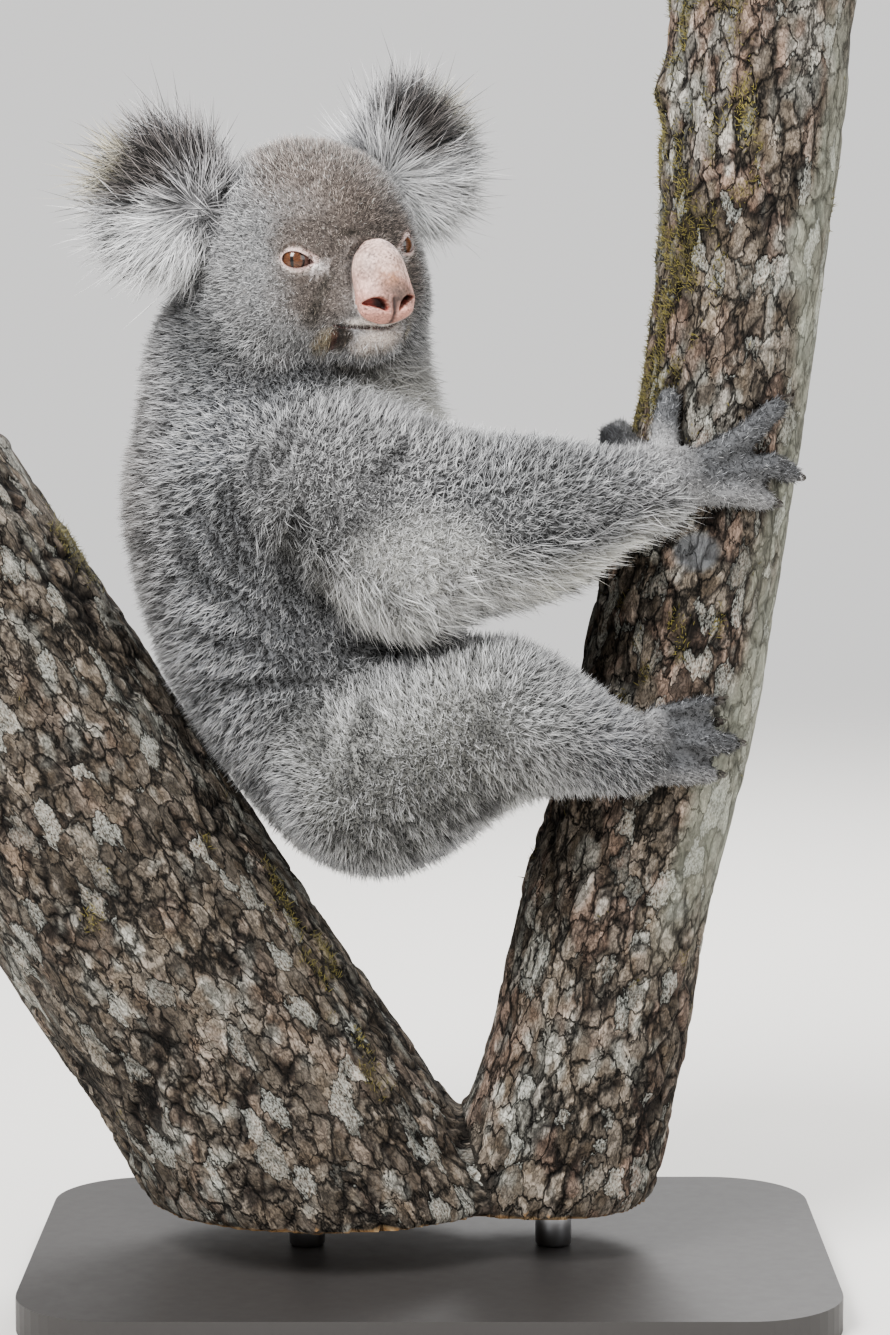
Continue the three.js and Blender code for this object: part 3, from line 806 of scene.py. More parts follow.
def markings(points, normals, kinds, ears):
    """The root and tip colour and the share of dark hairs for each point of the body."""
    count = len(points)
    look = [np.tile(GREY[0], (count, 1)), np.tile(GREY[1], (count, 1)), np.full(count, GREY[2])]
    marks = itertools.chain(body_marks(points, normals, kinds), head_marks(in_head(points), kinds, ears))
    for mark, share in marks:
        shares_of = (share[:, None], share[:, None], share)
        look = [mixed(under, over, by) for under, over, by in zip(look, mark, shares_of)]
    return look


# ---------------------------------------------------------------- the lie of the coat

KINDS = list(COAT_DEPTH)
kind_of_point = np.array([KINDS.index(kind_of(n)) for n in FLESH])[owner]
shares = {k: spread((kind_of_point == i).astype(float), links, 10) for i, k in enumerate(KINDS)}
on_side = {side: spread(belongs(lambda n: n.endswith(side), owner), links, 4) for side in SIDES}
NOSE_TIP = np.array([98.0, 0, 6.0])


def lie_of(points):
    """Which way the hair lies: back from the nose, down the body, and along each limb to its digits."""
    q = in_head(points)
    lie = np.tile(np.array([-0.1, 0, -1.0]), (len(points), 1))
    for index, node in enumerate(FLESH):
        mine = owner == index
        kind, side = kind_of(node), node.split("_")[-1]
        if kind in ("head", "nose"):
            lie[mine] = unit(q[mine] - NOSE_TIP) @ HEAD_AXES.T
            lie[mine, 2] -= 0.5 * ramp(0, -40, q[mine, 2])
        elif kind == "ear":
            from_root = q[mine] - (EARS[side] - EAR_OUT[side] * 27 + EAR_UP[side] * 5)
            lie[mine] = unit(from_root) @ HEAD_AXES.T
        elif side in SIDES:
            arm = kind in ("upper", "forearm", "hand")
            joint, end = arm_points(side) if arm else leg_points(side)
            if kind in ("upper", "thigh"):
                lie[mine] = unit(joint - box_middle(node))
            else:
                lie[mine] = unit(end - joint if kind in ("forearm", "shank") else points[mine] - end)
    return spread(lie, links, 24)


skin_lie = lie_of(skin_points)

# ---------------------------------------------------------------- creases in the flank's fur

# each: start, middle and end across and up the koala's side, from the torso's middle, and the width, mm
CREASES = [
    ((5, 71), (-5, 46), (-7, 30), 6), ((14, 46), (17, 27), (18, 12), 4.6),
    ((-6, 34), (-4, 22), (-1, 12), 4.6), ((-38, 84), (-38, 64), (-25, 45), 3.6),
    ((-60, 73), (-48, 52), (-14, 24), 3.7), ((-71, 53), (-57, 32), (-12, 5), 3.7),
    ((-79, 38), (-30, 9), (36, -9), 3.4), ((-89, 8), (-40, -9), (26, -16), 3.4),
    ((-62, -30), (-20, -30), (20, -26), 3.2), ((24, -9), (60, -8), (100, 1), 4.0),
    ((42, -33), (36, -56), (32, -86), 4.8), ((16, -39), (12, -54), (9, -70), 3.8),
    ((1, 126), (-8, 112), (-12, 98), 3.4), ((62, 112), (56, 98), (44, 88), 3.2),
    ((-18, 108), (-24, 96), (-22, 84), 3.4), ((206, -46), (224, -51), (248, -58), 4.6),
    ((206, -65), (226, -71), (248, -79), 4.6),
]
PARTING = 0.6  # how deep the small partings of the wool are, next to a crease
LEAN, MOST_LEAN = 7.0, 3.0  # how far the tips lean for a crease's slope, and at most, mm


def crease_of(points, normals):
    """How deep in a crease of the flank each point lies, from 0 to 1."""
    flat = (points - TORSO_MIDDLE)[:, [0, 2]] / MM
    flat = flat + np.stack([noise(points, 0.02, 31), noise(points, 0.02, 32)], -1) * 3.0
    deep = np.zeros(len(points))
    for start, middle, end, wide in CREASES:
        for t in np.linspace(0, 1, 13):
            at = mixed(mixed(np.array(start), middle, t), mixed(np.array(middle), end, t), t)
            width = wide * (0.45 + 0.55 * math.sin(math.pi * t))
            deep = np.maximum(deep, np.exp(-((flat - at) ** 2).sum(1) / width**2))
    return deep * ramp(0.45, 0.85, np.abs(normals[:, 1]))


def parting_of(points):
    """Small partings of the wool: thin winding lines, in patches."""
    thin = ramp(0.2, 0.04, np.abs(noise(points, 0.016, 33)))
    return PARTING * thin * ramp(-0.1, 0.3, noise(points, 0.04, 34))


def leaning(points, normals):
    """Which way, in mm, the hair leans out of a crease beside it."""
    step = 1.5 * MM
    here = crease_of(points, normals)
    slope = np.stack([crease_of(points + step * way, normals) - here for way in np.eye(3)], -1)
    slope = slope - normals * (slope * normals).sum(1, keepdims=True)
    return np.clip(-slope * LEAN, -MOST_LEAN, MOST_LEAN)


CREASE_DEPTH = 3.0  # mm
creased = shares["torso"] + shares["upper"] + shares["thigh"] + shares["foot"]
skin_crease = crease_of(skin_points, skin_normals) * creased
skin_points = skin_points - skin_normals * (skin_crease * CREASE_DEPTH * MM)[:, None]
skin_normals = normals_of(skin_points, skin_tris)

# ---------------------------------------------------------------- the coat

# for each: the hair's length as a share of the coat's depth, its lift off the skin in degrees, and its width
# and spacing in mm
HAIR = {
    "torso": (1.45, 70, 0.92, 1.26), "neck": (1.45, 66, 0.92, 1.24), "upper": (1.45, 67, 0.92, 1.2),
    "forearm": (1.4, 56, 0.86, 1.16), "thigh": (1.45, 70, 0.92, 1.25), "shank": (1.45, 64, 0.9, 1.2),
    "hand": (2.9, 28, 0.78, 1.16), "foot": (2.9, 28, 0.78, 1.16), "head": (1.27, 66, 0.6, 0.86),
    "ear": (1.0, 20, 0.9, 1.22), "nose": (1.4, 45, 0.6, 0.9),
}
MAX_PIECE = 190000  # triangles
SINK = 0.5 * MM  # how far below the skin a strand starts
CORNER_TURNS = np.radians([-30, 90, 210])  # a strand's three corners


def in_kind(column):
    total = sum(shares.values())
    return sum(HAIR[k][column] * shares[k] for k in KINDS) / total


length_field, lift_field, width_field, spacing_field = (in_kind(k) for k in range(4))
hair_depth = spread(depth * (1 - ramp(0.5, 1, under_nose)), links, 2)
EAR_RUFF, JAW_RUFF, BIB = 2.1, 1.5, 1.3  # how much longer the hair is there
q = in_head(skin_points)
ruff = np.zeros(len(q))
for side in SIDES:
    ear_root = EARS[side] - EAR_OUT[side] * 24 + EAR_UP[side] * 4
    near_root = np.exp(-(gap_to(q, ear_root) / 23) ** 2)
    ruff = np.maximum(ruff, EAR_RUFF * near_root)
    outward = unit(EAR_OUT[side] * 0.7 + EAR_UP[side] * 0.6 + EAR_FRONT[side] * 0.25) @ HEAD_AXES.T
    skin_lie = mixed(skin_lie, outward, (0.9 * near_root * shares["head"])[:, None])
jaw = hill(q[:, 2], -44, 16) * ramp(50, 32, q[:, 0]) * ramp(-50, -15, q[:, 0])
ruff = np.maximum(ruff, JAW_RUFF * jaw) * shares["head"]
bib = blob(skin_points, *THROAT, 0.6) * (shares["neck"] + shares["torso"])
length_field = length_field * (1 + ruff) * (1 + BIB * bib)
lift_field = lift_field - 18 * bib - 9 * ruff


def strand_mesh(root, normal, lie, length, width, lift, bend, tip_shift, colours, rings):
    """Many closed, tapered, three-sided strands as arrays, and how far along its strand each point is."""
    count = len(root)
    side = unit(np.cross(normal, lie))
    at, points, normals, along = root - normal * SINK, [], [], []
    previous = 0.0
    for ring in range(rings + 1):
        t = ring / rings
        slope = np.radians(lift + bend * (t + previous) / 2)[:, None]
        way = lie * np.cos(slope) + normal * np.sin(slope)
        at = at + way * (length * (t - previous))[:, None]
        centre = at + tip_shift * t**1.5
        previous = t
        up = np.cross(way, side)
        if ring == rings:
            points.append(centre[:, None])
            normals.append(unit(normal * 0.8 + way * 0.4)[:, None])
            along.append(np.full((count, 1), 1.0))
            continue
        half = (width * (1 - t**1.6) * (0.75 if ring == 0 and rings > 1 else 1.0) / 2)[:, None]
        for turn in CORNER_TURNS:
            sideways, upwards = side * math.cos(turn), up * math.sin(turn)
            points.append((centre + (sideways + upwards * 0.7) * half)[:, None])
            normals.append(unit(normal * 0.75 + (sideways + upwards) * 0.55)[:, None])
        along.append(np.full((count, 3), t))
    points, normals, along = (np.concatenate(x, 1) for x in (points, normals, along))
    each = points.shape[1]
    faces = [(0, 2, 1)]
    for ring in range(rings - 1):
        for k in range(3):
            a, b = ring * 3 + k, ring * 3 + (k + 1) % 3
            faces += [(a, b, b + 3), (a, b + 3, a + 3)]
    last = (rings - 1) * 3
    faces += [(last + k, last + (k + 1) % 3, last + 3) for k in range(3)]
    tris = (np.array(faces)[None] + (np.arange(count) * each)[:, None, None]).reshape(-1, 3)
    dark, pale = colours
    tone = dark[:, None] + (pale - dark)[:, None] * (along[..., None] ** 0.7)
    return points.reshape(-1, 3), normals.reshape(-1, 3), tris, tone.reshape(-1, 3), along, each


PATCH = 0.003  # a strand's patch on its piece's unwrap


def write_coat(name, material, slot, strands, places):
    """A coat piece from strands, with each strand's patch at its root's place on the unwrap."""
    points, normals, tris, tone, along, each = strands
    made = make_object(name, points, tris)
    paint(made, "fur", tone)
    shift = np.tile([-0.5, 0.0, 0.5], (each + 2) // 3)[:each]
    patch = np.stack([np.tile(shift, (len(places), 1)), along - 0.5], -1)
    patch[:, 1, 1] -= 0.25
    patch[:, -1, 0] = 0.0
    uv = (places[:, None] + patch * PATCH).reshape(-1, 2)
    layer = made.data.uv_layers.new(name="OFBake")
    layer.data.foreach_set("uv", uv[tris.ravel()].astype(np.float32).ravel())
    made.data.normals_split_custom_set_from_vertices(normals)
    made.data.materials.append(material)
    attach(made, "root")
    return made


def round_places(points, middle, axis):
    """Places on an unwrap of the surface round an axis: the way round and the way along."""
    axis = unit(np.asarray(axis, float))
    first = unit(np.cross(axis, [0.31, 0.9, 0.27]))
    second = np.cross(axis, first)
    rel = points - middle
    high = rel @ axis
    spin = np.arctan2(rel @ second, rel @ first) / (2 * math.pi) + 0.5
    rise = (high - high.min()) / max(np.ptp(high), 1e-9)
    return np.stack([spin, rise], -1) * 0.96 + 0.02


def leaf_places(points, side):
    """Places on an unwrap of an ear: its front beside its back."""
    rel = in_head(points) - EARS[side]
    out = rel @ EAR_OUT[side]
    above = rel @ EAR_UP[side]
    behind = rel @ EAR_FRONT[side] < 0
    flat = [(v - v.min()) / max(np.ptp(v), 1e-9) for v in (out, above)]
    return np.stack([flat[0] * 0.46 + 0.02 + 0.5 * behind, flat[1] * 0.96 + 0.02], -1)


def scattered(chosen, spacing):
    """Roots spread evenly over the chosen triangles: the triangle and the three shares for each."""
    tris = skin_tris[chosen]
    tri = chosen[spaced_out(area_of(skin_points, tris), spacing[tris].mean(1))]
    u, v = np.sqrt(rng.random(len(tri))), rng.random(len(tri))
    return tri, np.stack([1 - u, u * (1 - v), u * v], -1)


def at_roots(values, tri, share):
    got = values[skin_tris[tri]]
    return (got * share.reshape(share.shape + (1,) * (got.ndim - 2))).sum(1)


skin_marks = markings(skin_points, skin_normals, shares, ear_share)


# the dark gap under the right ear, behind the jaw
EAR_SHADOW = ((-0.142, -0.07, 0.582), (0.012, 0.07, 0.03))


def fold_shade_of(points):
    """How deep each point is tucked in where two parts meet, chin on neck, arm and thigh on the body: the
    strength of the painted shade there.
    """
    rights, lefts = ([box_middle(part + "_" + side)[2] for part in ("upper_arm", "thigh")] for side in SIDES)
    upper, knee_up = ((a + b) / 2 for a, b in zip(rights, lefts))
    low_arm = ramp(upper + 0.02, upper - 0.02, points[:, 2])
    high_thigh = ramp(knee_up, knee_up + 0.03, points[:, 2])
    off_head = shares["head"] + shares["nose"] <= 0.5
    fold = 0.95 * ramp(0.04, 0.4, spread(shares["head"], links, 26)) * off_head * (shares["ear"] < 0.3)
    fold = fold * (1 - 0.85 * blob(points, *THROAT)) * ramp(-40, 0, in_head(points)[:, 0])
    fold = fold + 3.2 * shares["torso"] * shares["upper"] * low_arm
    fold = fold + 2.4 * shares["torso"] * shares["thigh"] * high_thigh
    fold = fold + 3.0 * (shares["upper"] + shares["forearm"]) * (shares["thigh"] + shares["shank"])
    fold = fold + 1.2 * np.exp(-gap_to(points, *EAR_SHADOW) ** 2) * (shares["ear"] < 0.1)
    return np.clip(fold, 0, 1)


q = in_head(skin_points)
skin_flap = np.maximum(*(flap_of(skin_points, side, shares) for side in SIDES))
eye_gap = np.minimum(*(opening(q, side)[3] for side in SIDES))
mouth_gap = sum(mouth_line(q))
nose_away = np.where(under_nose > 0.6, 0, from_nose(skin_points, (78, 0, -8), 40))
nose_shadow = 0.95 * hill(nose_away, 1.8, 2.6) * ramp(-16, -2, q[:, 2])
# painted shade in the folds where parts meet, and beside the nose
skin_fold_shade = np.maximum(fold_shade_of(skin_points), nose_shadow)
bare = np.maximum.reduce([ramp(1.6, 0.8, eye_gap), ramp(1.6, 0.6, nose_away), ramp(0.5, 0.9, mouth_gap)])


FACE_TUFT, FLAP_TUFT = 0.36, 0.8  # a tuft's size on the face as a share, and what the flap adds to it
SHORT_HAIR, LONG_HAIR = 0.72, 1.22  # as shares of the length that's asked for
HAIR_TILT, TUFT_TILT = 6, 14  # degrees


def grown(tri, share, rings, length, lift, width, bend=0.0, clump=(4.4, 0.58), jitter=1.0, depth=0.45):
    """Strands on those roots. clump is the tufts' size, mm, and how far hairs lean to their middles; depth is
    the share of brightness that the painted shade between tufts leaves.
    """
    def here(values):
        return at_roots(values, tri, share)

    def flattened(way):
        return way - normal * (way * normal).sum(1, keepdims=True)

    count = len(tri)
    size, pull = clump
    root, normal = here(skin_points), unit(here(skin_normals))
    lie = unit(flattened(here(skin_lie)))
    swing = rng.normal(0, jitter, count)[:, None]
    lie = unit(lie * np.cos(swing) + np.cross(normal, lie) * np.sin(swing))
    on_head, flap, paws = here(shares["head"]), here(skin_flap), here(shares["hand"] + shares["foot"])

    # the hairs gather in tufts, smaller on the face and larger on the flap
    finer = on_head * mixed(0.6, 1.0, ramp(15, 45, in_head(root)[:, 0]))
    tuft = size * (mixed(1.0, FACE_TUFT, finer) * (1 + FLAP_TUFT * flap))[:, None]
    way, border, mark = cells(root / MM / tuft * size + lie * length[:, None] * 0.3, size, 40)
    gather = flattened(way * tuft / size) * (pull + 0.15 * flap)[:, None]

    # the flank's hairs lean out of the creases, and are short in them and in the partings, darkened there
    # with painted shade
    flank = ramp(0.2, 0.6, here(creased))
    rise = np.radians(lift)
    rise = lie * np.cos(rise)[:, None] + normal * np.sin(rise)[:, None] if np.ndim(lift) else lie
    along = [root + rise * (length * t * MM)[:, None] for t in (0, 0.5, 1)]
    creases = [crease_of(at, normal) for at in along]
    partings = [parting_of(at) * (1 - flap) for at in along[::2]]
    crease = np.maximum.reduce(creases + partings) * flank
    lean = leaning(root, normal) * flank[:, None]
    length = length * (SHORT_HAIR + (LONG_HAIR - SHORT_HAIR) * rng.random(count))
    length = length * (0.8 + 0.2 * ramp(0, 0.3, border)) * (1 - 0.45 * crease)
    lift = lift + rng.normal(0, HAIR_TILT, count) + (mark - 0.5) * TUFT_TILT

    # the colour of each: painted shade between tufts, in creases and in folds where parts meet, some hairs
    # dark to the tip
    dark, pale, share_dark = (here(m) for m in skin_marks)
    shade = mixed(depth - 0.1 * on_head, 1.0, ramp(0.0, 0.4, border)) * (1 - 0.9 * crease)
    shade = shade * (1 + 0.18 * noise(root, 0.03, 8)) * mixed(0.82 + 0.34 * mark, 0.58 + 0.84 * mark, on_head)
    shade = shade * (1 - 0.75 * here(skin_fold_shade) * (1 - 0.7 * flap))
    pepper = rng.random(count) < share_dark
    speckled = np.minimum(on_head + paws, 1)
    tone = mixed(0.55, 0.25, speckled) + mixed(0.85, 1.5, speckled) * rng.random(count)
    tone = tone * (1 + mixed(0.2, 0.7, speckled) * noise(root / MM, 1.3, 41))
    pale = np.where(pepper[:, None], mixed(dark, pale, 0.1), pale * tone[:, None])
    pale = np.minimum(pale, 0.95) * (mixed(1, shade, 0.8) * (1 - 0.75 * crease))[:, None]
    dark = dark * (shade * 0.62)[:, None]
    width = width * (0.8 + 0.4 * rng.random(count)) * MM
    tip_shift = (gather + lean + rng.normal(0, 1.0, (count, 3))) * MM
    return strand_mesh(root, normal, lie, length * MM, width, lift, bend, tip_shift, (dark, pale), rings)


# ---------------------------------------------------------------- materials

class Look:
    """A material, with short ways to add nodes. Their inputs may be sockets, numbers or colours."""

    def __init__(self, name, inputs):
        self.material = bpy.data.materials.new(name)
        self.material.use_nodes = True
        self.nodes = self.material.node_tree.nodes
        self.shader = self.nodes["Principled BSDF"]
        self.feed(self.shader, inputs)

    def feed(self, node, inputs):
        for key, value in inputs.items():
            socket = node.inputs[key]
            if isinstance(value, bpy.types.NodeSocket):
                self.material.node_tree.links.new(value, socket)
            else:
                socket.default_value = (*value, 1) if socket.type == "RGBA" else value

    def node(self, kind, out, inputs, **settings):
        """A new node with those settings and inputs; returns one of its outputs."""
        made = self.nodes.new("ShaderNode" + kind)
        for key, value in settings.items():
            setattr(made, key, value)
        self.feed(made, inputs)
        return made.outputs[out]

    def colour(self, value):
        self.feed(self.shader, {"Base Color": value})

    def stored(self, name, out="Fac"):
        return self.node("Attribute", out, {}, attribute_name=name)

    def maths(self, operation, *values):
        return self.node("Math", 0, dict(enumerate(values)), operation=operation)

    def between(self, value, low, high, to_low=0.0, to_high=1.0, kind="LINEAR"):
        span = {"From Min": low, "From Max": high, "To Min": to_low, "To Max": to_high}
        return self.node("MapRange", "Result", {"Value": value, **span}, interpolation_type=kind)

    def over(self, below, above, share, blend="MIX"):
        inputs = {"Factor": share, 6: below, 7: above}
        return self.node("Mix", 2, inputs, data_type="RGBA", blend_type=blend)

    def two_colours(self, share, first, second):
        made = self.nodes.new("ShaderNodeValToRGB")
        for stop, colour in zip(made.color_ramp.elements, (first, second)):
            stop.color = (*colour, 1)
        self.feed(made, {"Fac": share})
        return made.outputs["Color"]

    def noise(self, where, scale, detail, rough=0.65, out="Fac"):
        inputs = {"Vector": where, "Scale": scale, "Detail": detail, "Roughness": rough}
        return self.node("TexNoise", out, inputs)

    def grain(self, size_mm, detail=3.0):
        """Noise with features of that size, in mm."""
        return self.noise(self.node("TexCoord", "Object", {}), 1000 / size_mm, detail, 0.5)

    def mottled(self, factor, low, high):
        """The base colour times a brightness from low to high."""
        was = self.shader.inputs["Base Color"].links[0].from_socket
        self.colour(self.over(was, self.between(factor, 0.32, 0.68, low, high), 1.0, "MULTIPLY"))

    def bump(self, height, strength, distance_mm):
        inputs = {"Height": height, "Strength": strength, "Distance": distance_mm * MM}
        self.feed(self.shader, {"Normal": self.node("Bump", "Normal", inputs)})


def textured(name, attribute, rough, specular, sheen=0.0):
    """A surface coloured by a stored attribute."""
    look = Look(name, {"Roughness": rough, "Specular IOR Level": specular, "Sheen Weight": sheen})
    look.colour(look.stored(attribute, "Color"))
    return look


def plain(name, colour, rough, metallic=0.0, size_mm=8.0, bump_mm=0.05):
    """One even colour with a slight grain in its shine."""
    look = Look(name, {"Base Color": colour, "Metallic": metallic})
    grain = look.grain(size_mm)
    look.feed(look.shader, {"Roughness": look.between(grain, 0.0, 1.0, rough - 0.06, rough + 0.06)})
    look.bump(grain, 0.3, bump_mm)
    return look


def coloured(base, layers):
    """A colour with others laid over it in turn, each by its share at every point."""
    for colour, share in layers:
        base = mixed(base, colour, share[:, None])
    return base


# ---------------------------------------------------------------- the coat's pieces

FUR = textured("fur", "fur", 0.72, 0.3, 0.12).material
EAR_FUR = textured("ear_fur", "fur", 0.6, 0.35, 0.2).material
PAW_FUR = textured("paw_fur", "fur", 0.6, 0.35, 0.08).material
SHORTEST = 2.6  # mm

tri_owner = owner[skin_tris[:, 0]]
tri_kind = kind_of_point[skin_tris[:, 0]]
tri_middle = skin_points[skin_tris].mean(1)
tri_head = in_head(tri_middle)
tri_bare = bare[skin_tris].mean(1) > 0.5


def plant(name, chosen, places, slot="coat", material=FUR, rings=1, length=None, lift=None, width=None,
          crowd=1.0, **how):
    """Covers the chosen triangles with strands, in as many pieces as their size asks for."""
    tri, share = scattered(np.flatnonzero(chosen & ~tri_bare), spacing_field / crowd)
    deep = at_roots(hair_depth, tri, share)
    if length is None:
        long = np.maximum(deep * at_roots(length_field, tri, share), SHORTEST)
    else:
        long = length(tri, share)
    high = at_roots(lift_field, tri, share) if lift is None else lift
    wide = at_roots(width_field, tri, share) if width is None else width
    wide = wide * mixed(0.72, 1.0, ramp(0.5, 2.0, deep))
    each_tris = 6 * (rings - 1) + 4
    parts = max(1, math.ceil(len(tri) * each_tris / MAX_PIECE))
    order = np.argsort(skin_points[skin_tris[tri, 0], 2])
    for number, some in enumerate(np.array_split(order, parts)):
        some_high = high[some] if np.ndim(high) else high
        strands = grown(tri[some], share[some], rings, long[some], some_high, wide[some], **how)
        root = at_roots(skin_points, tri[some], share[some])
        label = name if parts == 1 else f"{name}_{number + 1}"
        write_coat(label, material, slot, strands, places(root))


def kind_is(*kinds):
    return np.isin(tri_kind, [KINDS.index(k) for k in kinds])


def around(middle, axis):
    return lambda root: round_places(root, middle, axis)


def from_to(low, high):
    """Lengths drawn between two, mm."""
    return lambda tri, share: low + (high - low) * rng.random(len(tri))


def ear_length(side, tri, share):
    """Longer in front than behind, longer towards the rim, with a few long wisps."""
    rel = in_head(at_roots(skin_points, tri, share)) - EARS[side]
    through = (rel @ EAR_FRONT[side])[:, None] * EAR_FRONT[side]
    out = np.linalg.norm(rel - through + EAR_OUT[side] * 12, axis=1)
    facing = (unit(at_roots(skin_normals, tri, share)) @ HEAD_AXES) @ EAR_FRONT[side]
    wisps = 1 + 0.45 * (rng.random(len(tri)) > 0.94)
    return mixed(17, 27, ramp(-2, 3, facing * 5)) * mixed(0.8, 1.25, ramp(14, 40, out)) * wisps


UP = np.array([0, 0, 1.0])
AHEAD, _, HEAD_UP = HEAD_AXES.T
on_head, front, high = kind_is("head", "nose"), tri_head[:, 0] > 22, tri_head[:, 2] > 4
plant("coat_face", on_head & front, around(HEAD, AHEAD))
plant("coat_crown", on_head & ~front & high, around(HEAD, HEAD_UP))
plant("coat_cheeks", on_head & ~front & ~high, around(HEAD, HEAD_UP))
plant("coat_neck", kind_is("neck"), around(TORSO_MIDDLE, UP))
near_half = tri_middle[:, 1] < TORSO_MIDDLE[1]
for side, half in (("right", near_half), ("left", ~near_half)):
    plant("coat_body_" + side, kind_is("torso") & half, around(TORSO_MIDDLE, UP))

below = skin_normals[skin_tris].mean(1)[:, 2] < -0.25
for side in SIDES:
    (elbow, wrist), (knee, ankle) = arm_points(side), leg_points(side)
    upper, thigh = box_middle("upper_arm_" + side), box_middle("thigh_" + side)
    mine = belongs(lambda n: n.endswith(side), tri_owner) > 0
    paw = {"slot": "paw_coat", "material": PAW_FUR}
    for part, start, end, look in (
        ("upper_arm", upper, elbow, {}), ("forearm", elbow, wrist, {}), ("thigh", thigh, knee, {}),
        ("shank", knee, ankle, {}), ("hand", elbow, wrist, paw), ("foot", knee, ankle, paw),
    ):
        plant(f"coat_{part}_{side}", kind_is(kind_of(part)) & mine, around(start, end - start), **look)
    plant(
        "coat_ear_" + side, kind_is("ear") & mine, lambda r: leaf_places(r, side), "ear_coat", EAR_FUR, 2,
        length=lambda tri, share: ear_length(side, tri, share), lift=26, width=0.85, bend=-10,
        clump=(6.0, 0.55), jitter=0.28, depth=0.5,
    )
    plant(
        "fringe_arm_" + side, kind_is("forearm", "upper") & mine & below, around(elbow, wrist - elbow),
        rings=2, length=from_to(15, 24), lift=38, width=0.9, crowd=0.55, bend=-10, clump=(9.0, 0.6),
        jitter=0.35,
    )
f, l, u = tri_head.T
at_chin = (np.abs(l) < 24) & (u < MOUTH_UP - 5) & (u > -50) & (f > 52)
plant(
    "whiskers", on_head & at_chin, around(HEAD, AHEAD), rings=2,
    length=from_to(6, 14), lift=28, width=0.5, crowd=0.24, bend=14, jitter=0.3, depth=1.0,
)

# ---------------------------------------------------------------- skin, nose and eyes as objects


# MOUTH_DARK_AND_SHADE: dark lip skin, with painted shade in the mouth line and in the creases down from its
# corners
WET_RIM, NOSE_EDGE_SHADE, MOUTH_DARK_AND_SHADE = linear(70, 42, 40), linear(44, 36, 33), linear(62, 28, 24)
skin = make_object("skin", skin_points, skin_tris)
root_colour, tip_colour, _ = skin_marks
showing = np.maximum(bare, ramp(5.0, 2.0, eye_gap))[:, None]
# painted shade in the groove round the top of the nose pad
nose_edge_shade = ramp(3.4, 1.6, nose_away) * ramp(-18, -6, in_head(skin_points)[:, 2])
paint(skin, "fur", coloured(mixed(root_colour * 0.8, tip_colour, 0.16 + 0.6 * showing), [
    (WET_RIM, ramp(0.9, 0.0, eye_gap) * 0.75),
    # painted shade in the groove round the nose pad
    (NOSE_EDGE_SHADE, 0.85 * nose_edge_shade),
    # dark lip skin with painted shade in the mouth line and its corner creases
    (MOUTH_DARK_AND_SHADE, ramp(0.2, 0.7, mouth_gap) * 0.9),
]))
hide = textured("hide", "fur", 0.62, 0.3, 0.08)
grain = hide.grain(1.1)
hide.mottled(grain, 0.7, 1.3)
hide.bump(grain, 0.5, 0.5)
skin.data.materials.append(hide.material)
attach(skin, "root")
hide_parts(*[n for n in FLESH if n != "nose"])

NOSE_BROWN, NOSE_PINK, NOSE_PALE = linear(150, 108, 82), linear(198, 146, 132), linear(206, 178, 168)
# NOSE_GREY_AND_SHADE is the pad's grey mottling, and darkened it is painted shade; NOSE_GROOVE_SHADE is
# painted shade in the groove
NOSE_GREY_AND_SHADE, NOSE_SPECK, NOSE_GROOVE_SHADE = linear(108, 89, 82), linear(72, 60, 56), linear(48, 38, 37)
# NOSTRIL_SHADE is painted shade deep inside the nostrils
NOSTRIL_SHADE, NOSTRIL_RED = linear(40, 15, 12), linear(132, 46, 36)
nose_q = in_head(nose_points)
f, l, u = nose_q.T
hole, furrow = nostrils(nose_q)
mottle = ramp(-0.3, 0.4, noise(nose_q, 8, 4) * 0.7 + noise(nose_q, 1.3, 5) * 0.5)
greyer = mixed(0.45, 0.9, np.maximum(hill(u, -13, 7) * hill(l, 4, 10), ramp(6, 18, u) * 0.7))
speckle = ramp(0.2, 0.5, noise(nose_q, 0.9, 6)) * ramp(-0.5, 0.3, noise(nose_q, 7, 7))
nose_pad = make_object("nose_pad", nose_points, nose_tris)
paint(nose_pad, "nose_skin", coloured(np.tile(NOSE_PALE, (len(nose_q), 1)), [
    (NOSE_PINK, ramp(4, -14, u + noise(nose_q, 9, 3) * 6) * 0.8),
    (NOSE_GREY_AND_SHADE, mottle * greyer),
    (NOSE_BROWN, mixed(0.35, 1, mottle) * 0.8 * hill(u, -4, 9) * hill(l, 0.5, 8)),
    # a grey patch low on the pad: grey skin, with painted shade
    (NOSE_GREY_AND_SHADE, mixed(0.5, 1, mottle) * 0.85 * hill(u, -11.5, 4.5) * hill(l, 3, 9)),
    # painted shade above and between the nostrils, and in the groove between them
    (NOSE_GREY_AND_SHADE * 0.35, 0.9 * hill(u, -16, 3.6) * hill(l, 2, 5)),
    (NOSE_GREY_AND_SHADE * 0.25, 0.85 * hill(u, -20, 4.5) * hill(l, GROOVE, 2.6)),
    (NOSE_PINK, 0.7 * ramp(-20, -24, u) * ramp(1.5, 4, np.abs(l - GROOVE))),
    (NOSE_SPECK, 0.7 * speckle),
    # painted shade in the groove down to the lip
    (NOSE_GROOVE_SHADE, 0.85 * furrow),
    (NOSTRIL_RED, ramp(0.2, 0.6, hole) * 0.8),
    # painted shade deep in the nostrils
    (NOSTRIL_SHADE, ramp(0.35, 0.9, hole) * mixed(0.2, 1, ramp(-13, -8, l))),
]))
leather = textured("nose_leather", "nose_skin", 0.5, 0.4)
leather.mottled(leather.grain(1.4, 4.0), 0.72, 1.28)
everywhere = leather.node("TexCoord", "Object", {})
pores = leather.node("TexVoronoi", "Distance", {"Vector": everywhere, "Scale": 1000 / 0.9})
leather.bump(pores, 0.45, 0.25)
